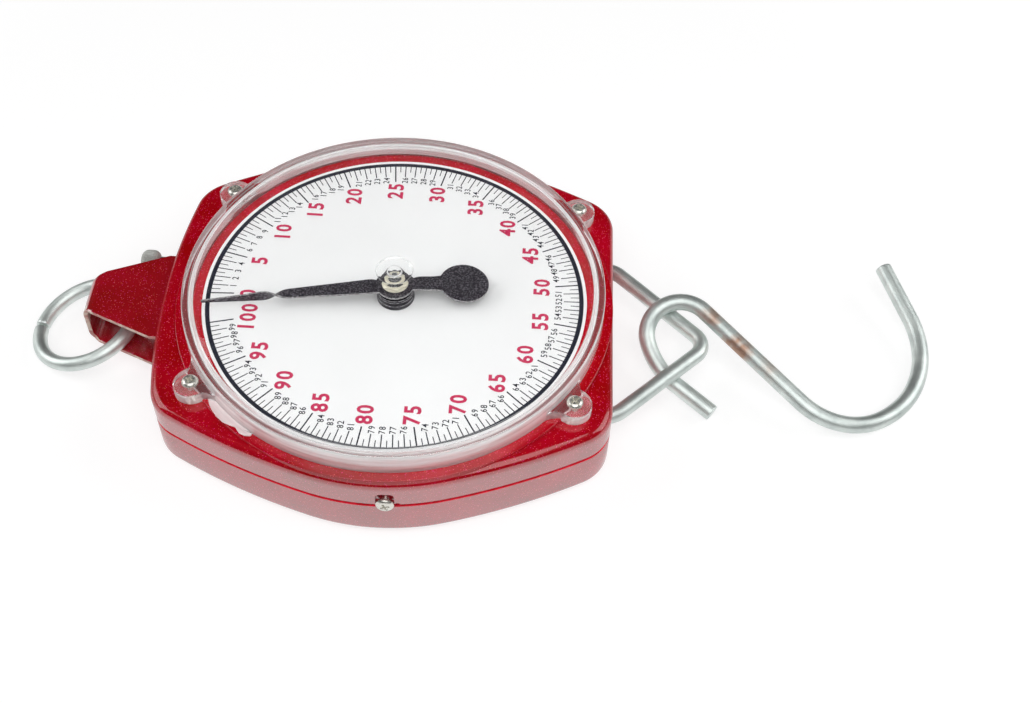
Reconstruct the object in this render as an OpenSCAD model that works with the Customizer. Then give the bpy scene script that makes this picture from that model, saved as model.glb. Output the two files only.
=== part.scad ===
// Hanging dial scale: pressed case, clear lens, wire ring, load bail and S-hook.
// Origin: the case's back face under the pointer's axis. +X to the hook, +Z out of the dial.

/* [Case] */
// distance from the pointer's axis to the case's right side
right_x = 95.3; // [90:0.1:100]
// distance from the pointer's axis to the left side's middle
left_x = 102; // [96:0.1:108]
// radius of the arcs over the dial
apex_r = 99; // [90:0.5:110]
// distance from the pointer's axis to those arcs
apex_y = 96; // [90:0.5:104]
// half the angle that each of those arcs spans
apex_half = 16.7; // [10:0.1:22]
// radius of the sloped sides
side_r = 300; // [200:5:500]
// radius of the four corners
corner_r = 19; // [12:0.5:26]
// radius of the bowed left side
bow_r = 300; // [200:5:500]
// rounding of the front and back edges
edge_r = 4; // [2:0.1:5]
// thickness of the case wall
wall = 2; // [1:0.1:3]
// height of the seam
seam_z = 19.5; // [15:0.1:24]
// gap shown at the seam
seam_gap = 0.4; // [0.1:0.1:1]
// height of the case's corners
face_z = 35.2; // [30:0.1:40]
// height of the round land
land_z = 36.5; // [31:0.1:41]
// place of the side screws along X
side_screw_x = 4.4; // [-20:0.1:20]
// height of the side screws above the seam
side_screw_up = 2.25; // [1.9:0.05:4]
// radius of the side screws' heads
side_head_r = 3.6; // [2.5:0.1:5]
// height of the side screws' heads
side_head_h = 1.8; // [1.2:0.1:3]
// how far the round land stays inside the case's right side
land_gap = 0.3; // [0:0.1:5]

/* [Dial] */
// radius of the dial plate
dial_r = 83.5; // [70:0.5:88]
// thickness of the dial plate
dial_t = 0.5; // [0.3:0.1:1]

/* [Lens] */
// outer radius of the lens wall
lens_r = 91; // [86:0.5:95]
// thickness of the lens wall
lens_wall = 3; // [2:0.1:4]
// height of the lens rim
lens_rim_z = 47; // [43:0.1:52]
// radius where the dome starts
dome_r = 86; // [80:0.5:90]
// height of the dome
dome_top_z = 55; // [50:0.1:60]
// thickness of the dome
dome_t = 1.8; // [1:0.1:3]
// radius of the dimple's rim
dimple_rim_r = 7.7; // [5:0.1:10]
// radius of the dimple's floor
dimple_floor_r = 5; // [4:0.1:8]
// height of the dimple's floor
dimple_z = 49.5; // [48.9:0.1:53]
// distance of an ear's screw from the axis along X
ear_x = 78.9; // [74:0.1:84]
// distance of an ear's screw from the axis along Y
ear_y = 54.8; // [50:0.1:60]
// radius of an ear
ear_r = 7.2; // [5:0.1:9]
// height of an ear's top
ear_z = 41; // [38:0.1:44]

/* [Pointer] */
// angle of the pointer's tip at rest
rest_angle = 188.6; // [180:0.1:200]
// reach of the pointer's tip
tip_r = 83; // [70:0.5:86]
// width of the blade at the hub
blade_w = 8.4; // [6:0.1:10]
// width of the blade's flat end
blade_end_w = 5; // [3:0.1:7]
// thickness of the pointer's sheet
blade_t = 1; // [0.5:0.1:1.5]
// radius of the pointer's hub disc
hub_r = 9; // [7:0.1:11]
// height of the pointer's hub disc
hub_z = 44; // [42:0.1:45]
// distance to the counterweight's centre
weight_x = 29.9; // [24:0.1:36]
// radius of the counterweight
weight_r = 10.65; // [8:0.05:13]

/* [Hanging gear] */
// thickness of the strap's steel
strap_t = 2; // [1.5:0.1:3]
// height of the strap's front face
strap_top_z = 30; // [26:0.1:32]
// height of the strap's back face
strap_low_z = 8; // [6:0.1:10]
// distance to the strap's two bolts
bolt_x = 84; // [80:0.5:90]
// half the distance between those bolts
bolt_y = 13; // [8:0.5:18]
// distance to the strap's folded end
strap_end_x = 137; // [125:0.5:150]
// half the strap's width at the fold
strap_fold_w = 9.4; // [7:0.1:12]
// half the strap's width at the case
strap_case_w = 23.5; // [18:0.1:28]
// radius of the ring's wire
ring_wire_r = 3.25; // [2:0.05:4]
// radius of the ring's centreline
ring_r = 23; // [18:0.1:30]
// distance to the ring's centre
ring_x = 140.1; // [136:0.1:145]
// how far the ring lies off the middle
ring_off = 1.9; // [-5:0.1:5]
// slope of the ring where it leans on the table
ring_lean = 15.5; // [0:0.5:30]

/* [Load gear] */
// radius of the bail's wire
bail_wire_r = 3.5; // [2:0.05:4]
// half the distance between the bail's legs
bail_y = 42; // [35:0.1:48]
// height of the bail's centreline
bail_z = 15.1; // [10:0.1:18]
// where the bail's legs start to bend
bail_bend_x = 92; // [88:0.1:100]
// radius of the bail's outer bends
bail_bend_r = 12; // [8:0.1:20]
// angle of the bail's outer bends
bail_bend_a = 44.5; // [30:0.5:60]
// radius of the bail's nose
bail_nose_r = 8; // [5:0.1:14]
// radius of the hook's wire
hook_wire_r = 3.75; // [2:0.05:5]
// where the hook's small end lies along X
hook_x = 141.65; // [130:0.05:150]
// how far that end lies off the middle
hook_off = 28.89; // [20:0.01:35]
// length of that end's straight run
hook_lead = 20.3; // [10:0.1:30]
// radius where the wire climbs into the eye
hook_climb_r = 36.66; // [25:0.01:50]
// radius of the eye
hook_eye_r = 15; // [10:0.1:20]
// length of the shank
hook_shank = 59.1; // [40:0.1:80]
// radius of the first part of the large bend
hook_bend_r = 30.64; // [20:0.01:40]
// radius of its last part
hook_sweep_r = 44.75; // [30:0.01:60]
// length of the tip's straight run
hook_tip = 28.25; // [10:0.05:40]

/* [Works] */
// distance from the axis to the chassis plate's left end
chassis_left = 94; // [90:0.5:97]
// distance from the axis to its right end
chassis_right = 56; // [52:0.5:70]
// half the chassis plate's width
chassis_w = 36; // [34:0.5:45]
// distance to the left bosses
boss_left = 60; // [50:0.5:70]
// distance to the right bosses
boss_right = 48; // [44:0.5:52]
// half the distance between the bosses
boss_y = 30; // [26:0.5:33]
// half the distance between the bridge's posts
post_y = 31; // [28:0.5:33]
// length of the knob
knob_l = 17; // [10:0.5:20]
// radius of the knob
knob_r = 5.6; // [4:0.1:8]
// distance from the axis to the knob's outer end
knob_x = 121; // [115:0.5:130]
// half the crosshead's length
head_y = 49; // [46:0.5:55]
// module of the rack and pinion
gear_m = 0.6; // [0.4:0.1:1]
// teeth of the pinion
pinion_teeth = 12; // [10:1:16]
// half the distance between the two springs
spring_y = 16; // [12:0.5:20]
// height of the springs' axes
spring_z = 16.5; // [14:0.1:20]
// radius of the spring's centreline
spring_r = 5.25; // [4:0.05:7]
// radius of the spring's wire
spring_wire_r = 1.2; // [0.8:0.05:1.5]
// turns of each spring
spring_turns = 22; // [12:1:30]
// where the springs' fixed ends are
spring_x0 = -64; // [-70:0.5:-50]
// where the crosshead starts
head_x = 30; // [24:0.5:36]
// radius of the zero screw
zero_r = 2.5; // [2:0.1:3]
// distance of the zero screw from the axis
zero_y = 29; // [26:0.1:34]
// height of the zero screw
zero_z = 19; // [16:0.1:22]
// radial clearance of a running fit
run_fit = 0.05; // [0.02:0.01:0.1]

/* [Hidden] */
$fn = 96;
low_edge = seam_z - seam_gap / 2;
high_edge = seam_z + seam_gap / 2;
lip_z = 22;
apex_c = apex_y - apex_r;
land_r = right_x - land_gap;
side_cx = (side_r - apex_r) * sin(apex_half);
side_cy = (side_r - apex_r) * cos(apex_half) - apex_c;
right_cx = right_x - corner_r;
right_a = acos((right_cx + side_cx) / (side_r - corner_r));
right_cy = (side_r - corner_r) * sin(right_a) - side_cy;
bow_cx = bow_r - left_x;
left_c = meet([side_cx, -side_cy], side_r - corner_r, [bow_cx, 0], bow_r - corner_r);
left_a = atan2(left_c[1] + side_cy, left_c[0] - side_cx);
bow_a = atan2(left_c[1], left_c[0] - bow_cx);
dial_z = land_z + dial_t;
pitch_r = gear_m * pinion_teeth / 2;
rack_z = 24;
chassis_z = 6;
chassis_t = 2;
bridge_z = 29;
spindle_low = 6.2;
shaft_r = 1.5;
neck_r = 3;
neck_z = 33;
nose_x = bail_nose();
head_w = 8;
spring_seat_r = (spring_r - spring_wire_r) * cos(15) - 0.02;
draw = 0.03;
lap = 0.05;

// Where two circles meet, on the left and above
function meet(c1, r1, c2, r2) =
  let (d = norm(c2 - c1))
  let (a = (r1 * r1 - r2 * r2 + d * d) / (2 * d))
  let (h = sqrt(r1 * r1 - a * a))
  let (u = (c2 - c1) / d)
  c1 + a * u + h * [-u[1], u[0]];

// Points of an arc, from one angle to another
function arc(c, r, a0, a1, n) =
  [for (i = [0 : n]) let (a = a0 + (a1 - a0) * i / n) c + r * [cos(a), sin(a)]];

// The case outline's upper half, set in by d, from the right side round to the left
function half_outline(d) = concat(
  arc([right_cx, right_cy], corner_r - d, 0, right_a, 6),
  tail(arc([-side_cx, -side_cy], side_r - d, right_a, 90 - apex_half, 3)),
  tail(arc([0, apex_c], apex_r - d, 90 - apex_half, 90 + apex_half, 7)),
  tail(arc([side_cx, -side_cy], side_r - d, 90 + apex_half, left_a, 3)),
  tail(arc(left_c, corner_r - d, left_a, bow_a, 6)),
  tail(arc([bow_cx, 0], bow_r - d, bow_a, 180, 3))
);

// A list without its first point, and one turned end for end and mirrored
function tail(p) = [for (i = [1 : len(p) - 1]) p[i]];
function mirrored(p) = [for (i = [len(p) - 2 : -1 : 0]) [p[i][0], -p[i][1]]];

// One ring of the case: the whole outline set in by d at height z
function case_ring(d, z) =
  let (h = half_outline(d))
  [for (p = concat(h, mirrored(h))) [p[0], p[1], z]];

// A shell: rings of the outline joined one to the next, from cap to cap
module shell_loft(steps) {
  rings = [for (s = steps) case_ring(s[0], s[1])];
  n = len(rings[0]);
  m = len(rings);
  points = [for (r = rings) for (p = r) p];
  bands = [for (i = [0 : m - 2]) for (k = [0 : n - 1])
    [i * n + k, i * n + (k + 1) % n, (i + 1) * n + (k + 1) % n, (i + 1) * n + k]];
  up = rings[1][0][2] > rings[0][0][2];
  first = [for (k = [0 : n - 1]) k];
  last = [for (k = [0 : n - 1]) (m - 1) * n + k];
  turn = function(f) [for (i = [len(f) - 1 : -1 : 0]) f[i]];
  faces = up ? concat([for (f = bands) turn(f)], [first, turn(last)])
    : concat(bands, [turn(first), last]);
  polyhedron(points = points, faces = faces);
}

// A quarter round as [inset, height] steps, from one angle to another
function edge_steps(z, r, a0, a1, n) =
  [for (p = arc([-edge_r, z], r, a0, a1, n)) [-p[0], p[1]]];

// The two ends of the wall that other pieces pass through
module wall_openings() {
  for (z = [strap_low_z, strap_top_z - strap_t])
    translate([-110, -strap_case_w - 0.4, z - 0.3])
      cube([20, 2 * strap_case_w + 0.8, strap_t + 0.6]);
  translate([-110, zero_y, zero_z]) rotate([0, 90, 0]) cylinder(r = zero_r + 0.6, h = 20);
  for (s = [-1, 1]) translate([80, s * bail_y, bail_z]) rotate([0, 90, 0])
    cylinder(r = bail_wire_r + 0.8, h = 20);
}

// Places of the four screws that hold the lens
module at_ears() {
  for (sx = [-1, 1]) for (sy = [-1, 1]) translate([sx * ear_x, sy * ear_y, 0]) children();
}

// Places of the four bosses that carry the chassis
module at_bosses() {
  for (x = [-boss_left, boss_right]) for (y = [-boss_y, boss_y]) translate([x, y, 0]) children();
}

// A pan head with a cross slot, its seat at z 0
module pan_head(r, h) {
  difference() {
    union() {
      cylinder(r = r, h = h * 0.6);
      translate([0, 0, h * 0.6]) cylinder(r1 = r, r2 = r * 0.72, h = h * 0.4);
    }
    for (a = [0, 90]) rotate([0, 0, a])
      translate([-r * 0.55, -r * 0.13, h * 0.35]) cube([r * 1.1, r * 0.26, h]);
  }
}

// A hexagon by its width across flats
module hexagon(af, h) {
  cylinder(r = af / 2 / cos(30), h = h, $fn = 6);
}

module front_shell() {
  color([0.62, 0.02, 0.05]) difference() {
    union() {
      shell_loft(concat(
        edge_steps(face_z - edge_r, edge_r, 90, 0, 5),
        [[0, high_edge], [wall, high_edge], [wall, lip_z], [3.6, lip_z]],
        [[3.6, lip_z + 2], [wall, lip_z + 3.6]],
        edge_steps(face_z - edge_r, edge_r - wall, 0, 90, 3)
      ));
      // the round land under the lens
      rotate_extrude() polygon(concat(
        [[8, face_z - wall + 0.1], [8, land_z]],
        arc([land_r - 1.1, land_z - 1.1], 1.1, 90, 0, 4),
        [[land_r, face_z - wall + 0.1]]
      ));
      at_ears() translate([0, 0, 24]) cylinder(r = 3.6, h = face_z - 25);
      translate([0, 0, 33]) cylinder(r = 12, h = 3);
    }
    difference() {
      translate([0, 0, face_z - wall - 1]) cylinder(r = 89, h = wall + 0.3);
      cylinder(r = 11, h = 60);
      at_ears() cylinder(r = 3.6, h = 60);
    }
    at_ears() translate([0, 0, 20]) cylinder(r = 1.25, h = 20);
    translate([0, 0, 20]) cylinder(r = 5, h = 20);
    // room for the back half's screw tabs
    for (s = [0, 1]) mirror([0, s, 0]) translate([side_screw_x - 7.4, apex_y - 6, 17])
      cube([14.8, 4, 11.4]);
    for (s = [0, 1]) mirror([0, s, 0]) translate([side_screw_x, apex_y - 6, 0]) screw_notch();
    wall_openings();
  }
}

// The slot round a side screw: two rounded corners on top and a nick beside it at the seam
module screw_notch() {
  w = side_head_r + 0.2;
  top = seam_z + side_screw_up + side_head_r + 0.95;
  for (x = [-w + 1.6, w - 1.6]) translate([x, 0, top - 1.6]) rotate([-90, 0, 0])
    cylinder(r = 1.6, h = 8);
  translate([-w + 1.6, 0, top - 3]) cube([2 * w - 3.2, 8, 3]);
  translate([-w, 0, seam_z - 2]) cube([2 * w, 8, top - seam_z + 0.4]);
  translate([w, 0, high_edge]) rotate([-90, 0, 0]) cylinder(r = 1.5, h = 8);
}

module rear_shell() {
  color([0.62, 0.02, 0.05]) difference() {
    union() {
      shell_loft(concat(
        edge_steps(edge_r, edge_r, -90, 0, 5),
        [[0, low_edge], [wall + run_fit, low_edge], [wall + run_fit, lip_z], [3.6, lip_z]],
        [[3.6, 17], [wall, 15.4]],
        edge_steps(edge_r, edge_r - wall, 0, -90, 3)
      ));
      // tabs that take the side screws
      for (s = [0, 1]) mirror([0, s, 0]) translate([side_screw_x - 7, apex_y - 5.3, 17.5])
        cube([14, 3.2, 10.5]);
      // bosses that carry the chassis
      at_bosses() translate([0, 0, 1]) cylinder(r = 5, h = chassis_z - 1);
    }
    for (s = [0, 1]) mirror([0, s, 0])
      translate([side_screw_x, apex_y - 16, seam_z + side_screw_up]) rotate([-90, 0, 0])
        cylinder(r = 1.5, h = 20);
    at_bosses() translate([0, 0, -0.01]) {
      cylinder(r = 2.1, h = 10);
      cylinder(r1 = 4.2, r2 = 2.1, h = 2.1);
    }
    wall_openings();
  }
}

module side_screws() {
  color([0.75, 0.75, 0.76]) for (s = [0, 1]) mirror([0, s, 0])
    translate([side_screw_x, apex_y, seam_z + side_screw_up]) rotate([-90, 0, 0]) {
      pan_head(side_head_r, side_head_h);
      translate([0, 0, -8]) cylinder(r = 1.5, h = 8.5);
    }
}

// The lens's outer form, from its foot up
module lens_form(r, rim, top, dr) {
  cap_r = (dr * dr + (top - rim) * (top - rim)) / (2 * (top - rim));
  translate([0, 0, land_z]) cylinder(r = r, h = rim - land_z);
  intersection() {
    translate([0, 0, top - cap_r]) sphere(r = cap_r, $fn = 192);
    translate([0, 0, rim - 1]) cylinder(r = dr, h = top - rim + 2);
  }
}

module lens_cover() {
  inner = lens_r - lens_wall;
  color([0.85, 0.88, 0.9, 0.4]) difference() {
    union() {
      difference() {
        lens_form(lens_r, lens_rim_z, dome_top_z, dome_r);
        translate([0, 0, -0.01]) lens_form(inner, lens_rim_z - dome_t, dome_top_z - dome_t, dome_r);
      }
      // the dimple's wall and the moulding gate on its floor
      translate([0, 0, dimple_z - 1.1]) cylinder(r1 = dimple_floor_r + 0.9,
        r2 = dimple_rim_r + 1, h = dome_top_z - dimple_z + 0.4);
      lens_ears();
    }
    translate([0, 0, dimple_z]) cylinder(r1 = dimple_floor_r, r2 = dimple_rim_r,
      h = dome_top_z - dimple_z);
    translate([0, 0, dome_top_z - 0.01]) cylinder(r = dimple_rim_r, h = 2);
    at_ears() translate([0, 0, 30]) cylinder(r = 1.7, h = 20);
    // the land and the room inside the wall
    translate([0, 0, land_z - 5]) cylinder(r = land_r + 0.15, h = 5);
    translate([0, 0, land_z - 1]) cylinder(r = inner, h = 7);
  }
  color([0.85, 0.88, 0.9, 0.4]) translate([0, 0, dimple_z - 0.3])
    cylinder(r = 3.2, h = 1.1);
}

// The four ears, each one flared where it meets the wall
module lens_ears() {
  a = atan2(ear_y, ear_x);
  d = norm([ear_x, ear_y]);
  for (q = [a, 180 - a, 180 + a, -a]) rotate([0, 0, q]) translate([0, 0, face_z]) {
    translate([d, 0, 0]) cylinder(r = ear_r, h = ear_z - face_z);
    linear_extrude(height = ear_z - face_z) polygon([[lens_r - 2, -12], [lens_r - 1.2, -12],
      [d - 4, -ear_r + 0.6], [d - 4, ear_r - 0.6], [lens_r - 1.2, 12], [lens_r - 2, 12]]);
  }
}

module lens_screws() {
  color([0.75, 0.75, 0.76]) at_ears() {
    translate([0, 0, ear_z]) pan_head(3, 2.1);
    translate([0, 0, 26]) cylinder(r = 1.25, h = ear_z - 25.5);
  }
}

module dial_plate() {
  color([0.95, 0.95, 0.94]) difference() {
    translate([0, 0, land_z]) cylinder(r = dial_r, h = dial_t);
    translate([0, 0, land_z - 1]) cylinder(r = 5, h = 3);
  }
}

module dial_bush() {
  color([0.2, 0.2, 0.21]) difference() {
    union() {
      translate([0, 0, dial_z]) cylinder(r = 9.4, h = 2);
      translate([0, 0, dial_z + 2]) cylinder(r = 7.4, h = 2.4);
      translate([0, 0, 31.8]) cylinder(r = 5, h = dial_z - 31.8 + 0.1);
      translate([0, 0, 31.8]) hexagon(15, 1.2);
    }
    translate([0, 0, 30]) cylinder(r = neck_r + run_fit, h = 20);
  }
}

module hub_collar() {
  color([0.2, 0.2, 0.21]) difference() {
    union() {
      translate([0, 0, dial_z + 4.5]) cylinder(r = 8.8, h = 1);
      translate([0, 0, dial_z + 5.5]) cylinder(r = 6.5, h = hub_z - dial_z - 5.5);
    }
    translate([0, 0, 40]) cylinder(r = neck_r, h = 10);
  }
}

module pointer() {
  dip = 2.2;
  twist_x = 45;
  twist_l = 12;
  color([0.2, 0.2, 0.22]) rotate([0, 0, rest_angle]) difference() {
    union() {
      translate([0, 0, hub_z]) cylinder(r = hub_r, h = blade_t);
      translate([0, 0, hub_z]) linear_extrude(height = blade_t)
        polygon([[-18, -3.8], [8, -3.8], [8, 3.8], [-18, 3.8]]);
      translate([-weight_x, 0, hub_z]) cylinder(r = weight_r, h = blade_t);
      translate([-22, 0, hub_z]) linear_extrude(height = blade_t)
        polygon([[-2, -4.6], [5, -3.8], [5, 3.8], [-2, 4.6]]);
      translate([6, 0, hub_z]) rotate([0, dip, 0]) {
        linear_extrude(height = blade_t) polygon([[0, -blade_w / 2],
          [twist_x - 6, -blade_end_w / 2], [twist_x - 6, blade_end_w / 2], [0, blade_w / 2]]);
        translate([twist_x - 6, 0, blade_t / 2]) rotate([0, 90, 0])
          linear_extrude(height = twist_l, twist = 90, slices = 10, $fn = 4)
            square([blade_t, blade_end_w], center = true);
        translate([twist_x + twist_l - 6, 0, blade_t / 2]) rotate([90, 0, 0])
          linear_extrude(height = blade_t, center = true) polygon([[0, -blade_end_w / 2],
            [tip_r - twist_x - twist_l, -1], [tip_r - twist_x - twist_l, 0.4], [0, blade_end_w / 2]]);
      }
    }
    translate([0, 0, 40]) cylinder(r = neck_r, h = 10);
  }
}

module pointer_nut() {
  color([0.78, 0.65, 0.35]) difference() {
    intersection() {
      translate([0, 0, hub_z + blade_t]) hexagon(10, 2.6);
      translate([0, 0, hub_z + blade_t]) cylinder(r1 = 7.2, r2 = 5.1, h = 3.2);
    }
    translate([0, 0, 40]) cylinder(r = neck_r, h = 10);
  }
}

// One flank point of the involute, at radius r on a base circle b
function involute(b, r) = tan(acos(b / r)) * 180 / PI - acos(b / r);

module pinion() {
  base_r = pitch_r * cos(20);
  tip = pitch_r + gear_m;
  root = pitch_r - gear_m * 1.25;
  half = 90 / pinion_teeth - 1.1;
  at_pitch = involute(base_r, pitch_r);
  radii = [base_r, pitch_r * 0.97, pitch_r, pitch_r * 1.05, pitch_r * 1.11, tip];
  up = [for (r = radii) [r, half + at_pitch - involute(base_r, max(r, base_r * 1.00001))]];
  tooth = concat([[root, up[0][1] + 1]], up);
  color([0.8, 0.68, 0.35]) difference() {
    translate([0, 0, rack_z - 0.5]) linear_extrude(height = 4)
      polygon([for (i = [0 : pinion_teeth - 1]) for (s = [-1, 1])
        for (k = [0 : len(tooth) - 1])
          let (p = s < 0 ? tooth[k] : tooth[len(tooth) - 1 - k])
          let (a = 90 + i * 360 / pinion_teeth + s * p[1])
          p[0] * [cos(a), sin(a)]]);
    translate([0, 0, 20]) cylinder(r = shaft_r, h = 20);
  }
}

module pinion_spindle() {
  color([0.7, 0.7, 0.72]) {
    translate([0, 0, spindle_low]) cylinder(r = shaft_r, h = neck_z - spindle_low);
    translate([0, 0, neck_z]) cylinder(r = neck_r, h = hub_z + blade_t + 2.8 - neck_z);
  }
}

module bearing_bridge() {
  color([0.7, 0.7, 0.72]) difference() {
    translate([-6, -post_y - 5, bridge_z]) cube([12, 2 * post_y + 10, 2]);
    translate([0, 0, 20]) cylinder(r = shaft_r + run_fit, h = 20);
    for (y = [-post_y, post_y]) translate([0, y, 20]) cylinder(r = 1.7, h = 20);
    for (x = [-3.5, 3.5]) translate([x, 13, 20]) cylinder(r = 1, h = 20);
  }
}

module bridge_posts() {
  color([0.7, 0.7, 0.72]) for (y = [-post_y, post_y]) difference() {
    translate([0, y, chassis_z + chassis_t]) cylinder(r = 3.5, h = bridge_z - chassis_z - chassis_t);
    translate([0, y, 20]) cylinder(r = 1.5, h = 20);
  }
}

module bridge_screws() {
  color([0.75, 0.75, 0.76]) for (y = [-post_y, post_y]) translate([0, y, bridge_z + 2]) {
    pan_head(3, 2);
    translate([0, 0, -10]) cylinder(r = 1.5, h = 10.5);
  }
}

module rear_bearing() {
  color([0.78, 0.65, 0.35]) difference() {
    union() {
      translate([0, 0, chassis_z + chassis_t]) cylinder(r = 5, h = 2);
      translate([0, 0, chassis_z]) cylinder(r = 3, h = chassis_t + 0.5);
    }
    translate([0, 0, 0]) cylinder(r = shaft_r + run_fit, h = 20);
  }
}

module chassis_plate() {
  top = chassis_z + chassis_t;
  color([0.7, 0.7, 0.72]) difference() {
    union() {
      translate([-chassis_left, -chassis_w, chassis_z])
        cube([chassis_left + chassis_right, 2 * chassis_w, chassis_t]);
      translate([-chassis_left, 24.2, chassis_z]) cube([2, chassis_w - 24.2, 20]);
    }
    cylinder(r = 3, h = 20);
    at_bosses() cylinder(r = 2, h = 20);
    for (y = [-bolt_y, bolt_y]) translate([-bolt_x, y, 0]) cylinder(r = 3, h = 20);
    translate([-100, zero_y, zero_z]) rotate([0, 90, 0]) cylinder(r = zero_r + run_fit, h = 20);
    for (x = [-40, 22]) translate([x, 0, 0]) cylinder(r = 9, h = 20);
  }
}

module chassis_screws() {
  color([0.75, 0.75, 0.76]) at_bosses() difference() {
      union() {
        cylinder(r = 2, h = chassis_z + chassis_t);
        cylinder(r1 = 4, r2 = 2, h = 2);
      }
      for (a = [0, 90]) rotate([0, 0, a]) translate([-2.2, -0.5, -1]) cube([4.4, 1, 2.2]);
    }
}

// The strap's side view: two flat plates joined by a rounded fold
module strap_profile(inset) {
  r = 5.4 - inset;
  x0 = inset - strap_end_x;
  z0 = strap_low_z + inset;
  z1 = strap_top_z - inset;
  polygon(concat(
    [[-70 + inset, z0]],
    arc([x0 + r, z0 + r], r, -90, -180, 5),
    arc([x0 + r, z1 - r], r, 180, 90, 5),
    [[-70 + inset, z1]]
  ));
}

module hanging_strap() {
  color([0.62, 0.02, 0.05]) difference() {
    intersection() {
      translate([0, 40, 0]) rotate([90, 0, 0]) linear_extrude(height = 80) difference() {
        strap_profile(0);
        strap_profile(strap_t);
      }
      // the plan view, with one fold corner rounded and the other clipped
      linear_extrude(height = 60) polygon(concat(
        [[-60, -strap_case_w], [-104.5, -strap_case_w], [-107.5, -22.2]],
        [[-133, -11.2], [-134.6, -9.8], [-140, -strap_fold_w], [-140, 3]],
        [[-137, 5.4], [-135.6, 8], [-133.2, 10.1], [-130.5, 12.3], [-107.5, 22.2]],
        [[-104.5, strap_case_w], [-60, strap_case_w]]
      ));
    }
    for (y = [-bolt_y, bolt_y]) translate([-bolt_x, y, 0]) cylinder(r = 3, h = 60);
  }
}

module strap_bolts() {
  color([0.75, 0.75, 0.76]) for (y = [-bolt_y, bolt_y]) translate([-bolt_x, y, 0]) {
    translate([0, 0, 2.4]) cylinder(r = 3, h = strap_top_z - 2);
    translate([0, 0, strap_top_z]) hexagon(10, 3);
  }
}

module strap_spacers() {
  color([0.7, 0.7, 0.72]) for (y = [-bolt_y, bolt_y]) translate([-bolt_x, y, strap_low_z + strap_t])
    difference() {
      cylinder(r = 5, h = strap_top_z - strap_low_z - 2 * strap_t);
      translate([0, 0, -1]) cylinder(r = 3, h = 30);
    }
}

module strap_nuts() {
  color([0.75, 0.75, 0.76]) for (y = [-bolt_y, bolt_y]) translate([-bolt_x, y, chassis_z - 3.2])
    difference() {
      hexagon(10, 3.2);
      translate([0, 0, -1]) cylinder(r = 3, h = 10);
    }
}

module suspension_ring() {
  color([0.68, 0.69, 0.7]) translate([-ring_x, -ring_off, ring_r * sin(ring_lean) + ring_wire_r])
    rotate([0, -ring_lean, 0]) rotate([0, 0, 178])
      rotate_extrude(angle = 358) translate([ring_r, 0]) circle(r = ring_wire_r, $fn = 48);
}

// A knurled bar: a star with many points
module zero_knob() {
  ribs = 36;
  color([0.5, 0.5, 0.5]) translate([-knob_x, zero_y, zero_z]) rotate([0, 90, 0]) difference() {
    intersection() {
      linear_extrude(height = knob_l) polygon([for (i = [0 : 2 * ribs - 1])
        let (r = knob_r - 0.35 * (i % 2)) r * [cos(i * 180 / ribs), sin(i * 180 / ribs)]]);
      rotate_extrude() polygon([[0, 0], [knob_r - 0.7, 0], [knob_r + 0.1, 0.8],
        [knob_r + 0.1, knob_l - 0.8], [knob_r - 0.7, knob_l], [0, knob_l]]);
    }
    translate([0, 0, 3]) cylinder(r = zero_r, h = 20);
  }
}

module zero_screw() {
  color([0.7, 0.7, 0.72]) translate([0, zero_y, zero_z]) rotate([0, 90, 0]) {
    translate([0, 0, 3 - knob_x]) cylinder(r = zero_r, h = knob_x - 55);
    translate([0, 0, -chassis_left - 2]) cylinder(r = 4, h = 1.95);
    translate([0, 0, -chassis_left + 2.05]) cylinder(r = 4, h = 1.95);
  }
}

module anchor_bar() {
  color([0.7, 0.7, 0.72]) difference() {
    union() {
      translate([spring_x0 - 8, -25, 12]) cube([8, 61, 11]);
      for (s = [-1, 1]) translate([spring_x0 - 1, s * spring_y, spring_z]) rotate([0, 90, 0])
        cylinder(r = spring_seat_r, h = 9);
    }
    translate([spring_x0 - 20, zero_y, zero_z]) rotate([0, 90, 0])
      cylinder(r = zero_r + run_fit, h = 30);
  }
}

// A helix of round wire: rings of points joined one to the next
module helix(len, turns, r, w) {
  steps = turns * 12;
  sides = 6;
  rise = (len - 2 * w) / steps;
  pts = [for (i = [0 : steps]) for (k = [0 : sides - 1])
    let (a = i * 30, b = k * 360 / sides)
    [w + i * rise + w * sin(b), (r + w * cos(b)) * cos(a), (r + w * cos(b)) * sin(a)]];
  faces = concat(
    [[for (k = [0 : sides - 1]) k]],
    [for (i = [0 : steps - 1]) for (k = [0 : sides - 1])
      let (n = (k + 1) % sides) [i * sides + k, (i + 1) * sides + k, (i + 1) * sides + n]],
    [for (i = [0 : steps - 1]) for (k = [0 : sides - 1])
      let (n = (k + 1) % sides) [i * sides + k, (i + 1) * sides + n, i * sides + n]],
    [[for (k = [0 : sides - 1]) steps * sides + sides - 1 - k]]
  );
  polyhedron(points = pts, faces = faces);
}

module spring_left() {
  color([0.6, 0.6, 0.62]) translate([spring_x0, -spring_y, spring_z])
    helix(head_x - spring_x0, spring_turns, spring_r, spring_wire_r);
}

module spring_right() {
  color([0.6, 0.6, 0.62]) translate([spring_x0, spring_y, spring_z])
    helix(head_x - spring_x0, spring_turns, spring_r, spring_wire_r);
}

module crosshead() {
  color([0.7, 0.7, 0.72]) difference() {
    union() {
      translate([head_x, -head_y, 10]) cube([head_w, 2 * head_y, 10]);
      translate([head_x, -3, 10]) cube([head_w, 14, 14]);
      for (s = [-1, 1]) translate([head_x - 8, s * spring_y, spring_z]) rotate([0, 90, 0])
        cylinder(r = spring_seat_r, h = 9);
    }
    for (s = [-1, 1]) translate([head_x - 5, s * bail_y, bail_z]) rotate([0, 90, 0])
      cylinder(r = bail_wire_r, h = 20);
  }
}

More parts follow.
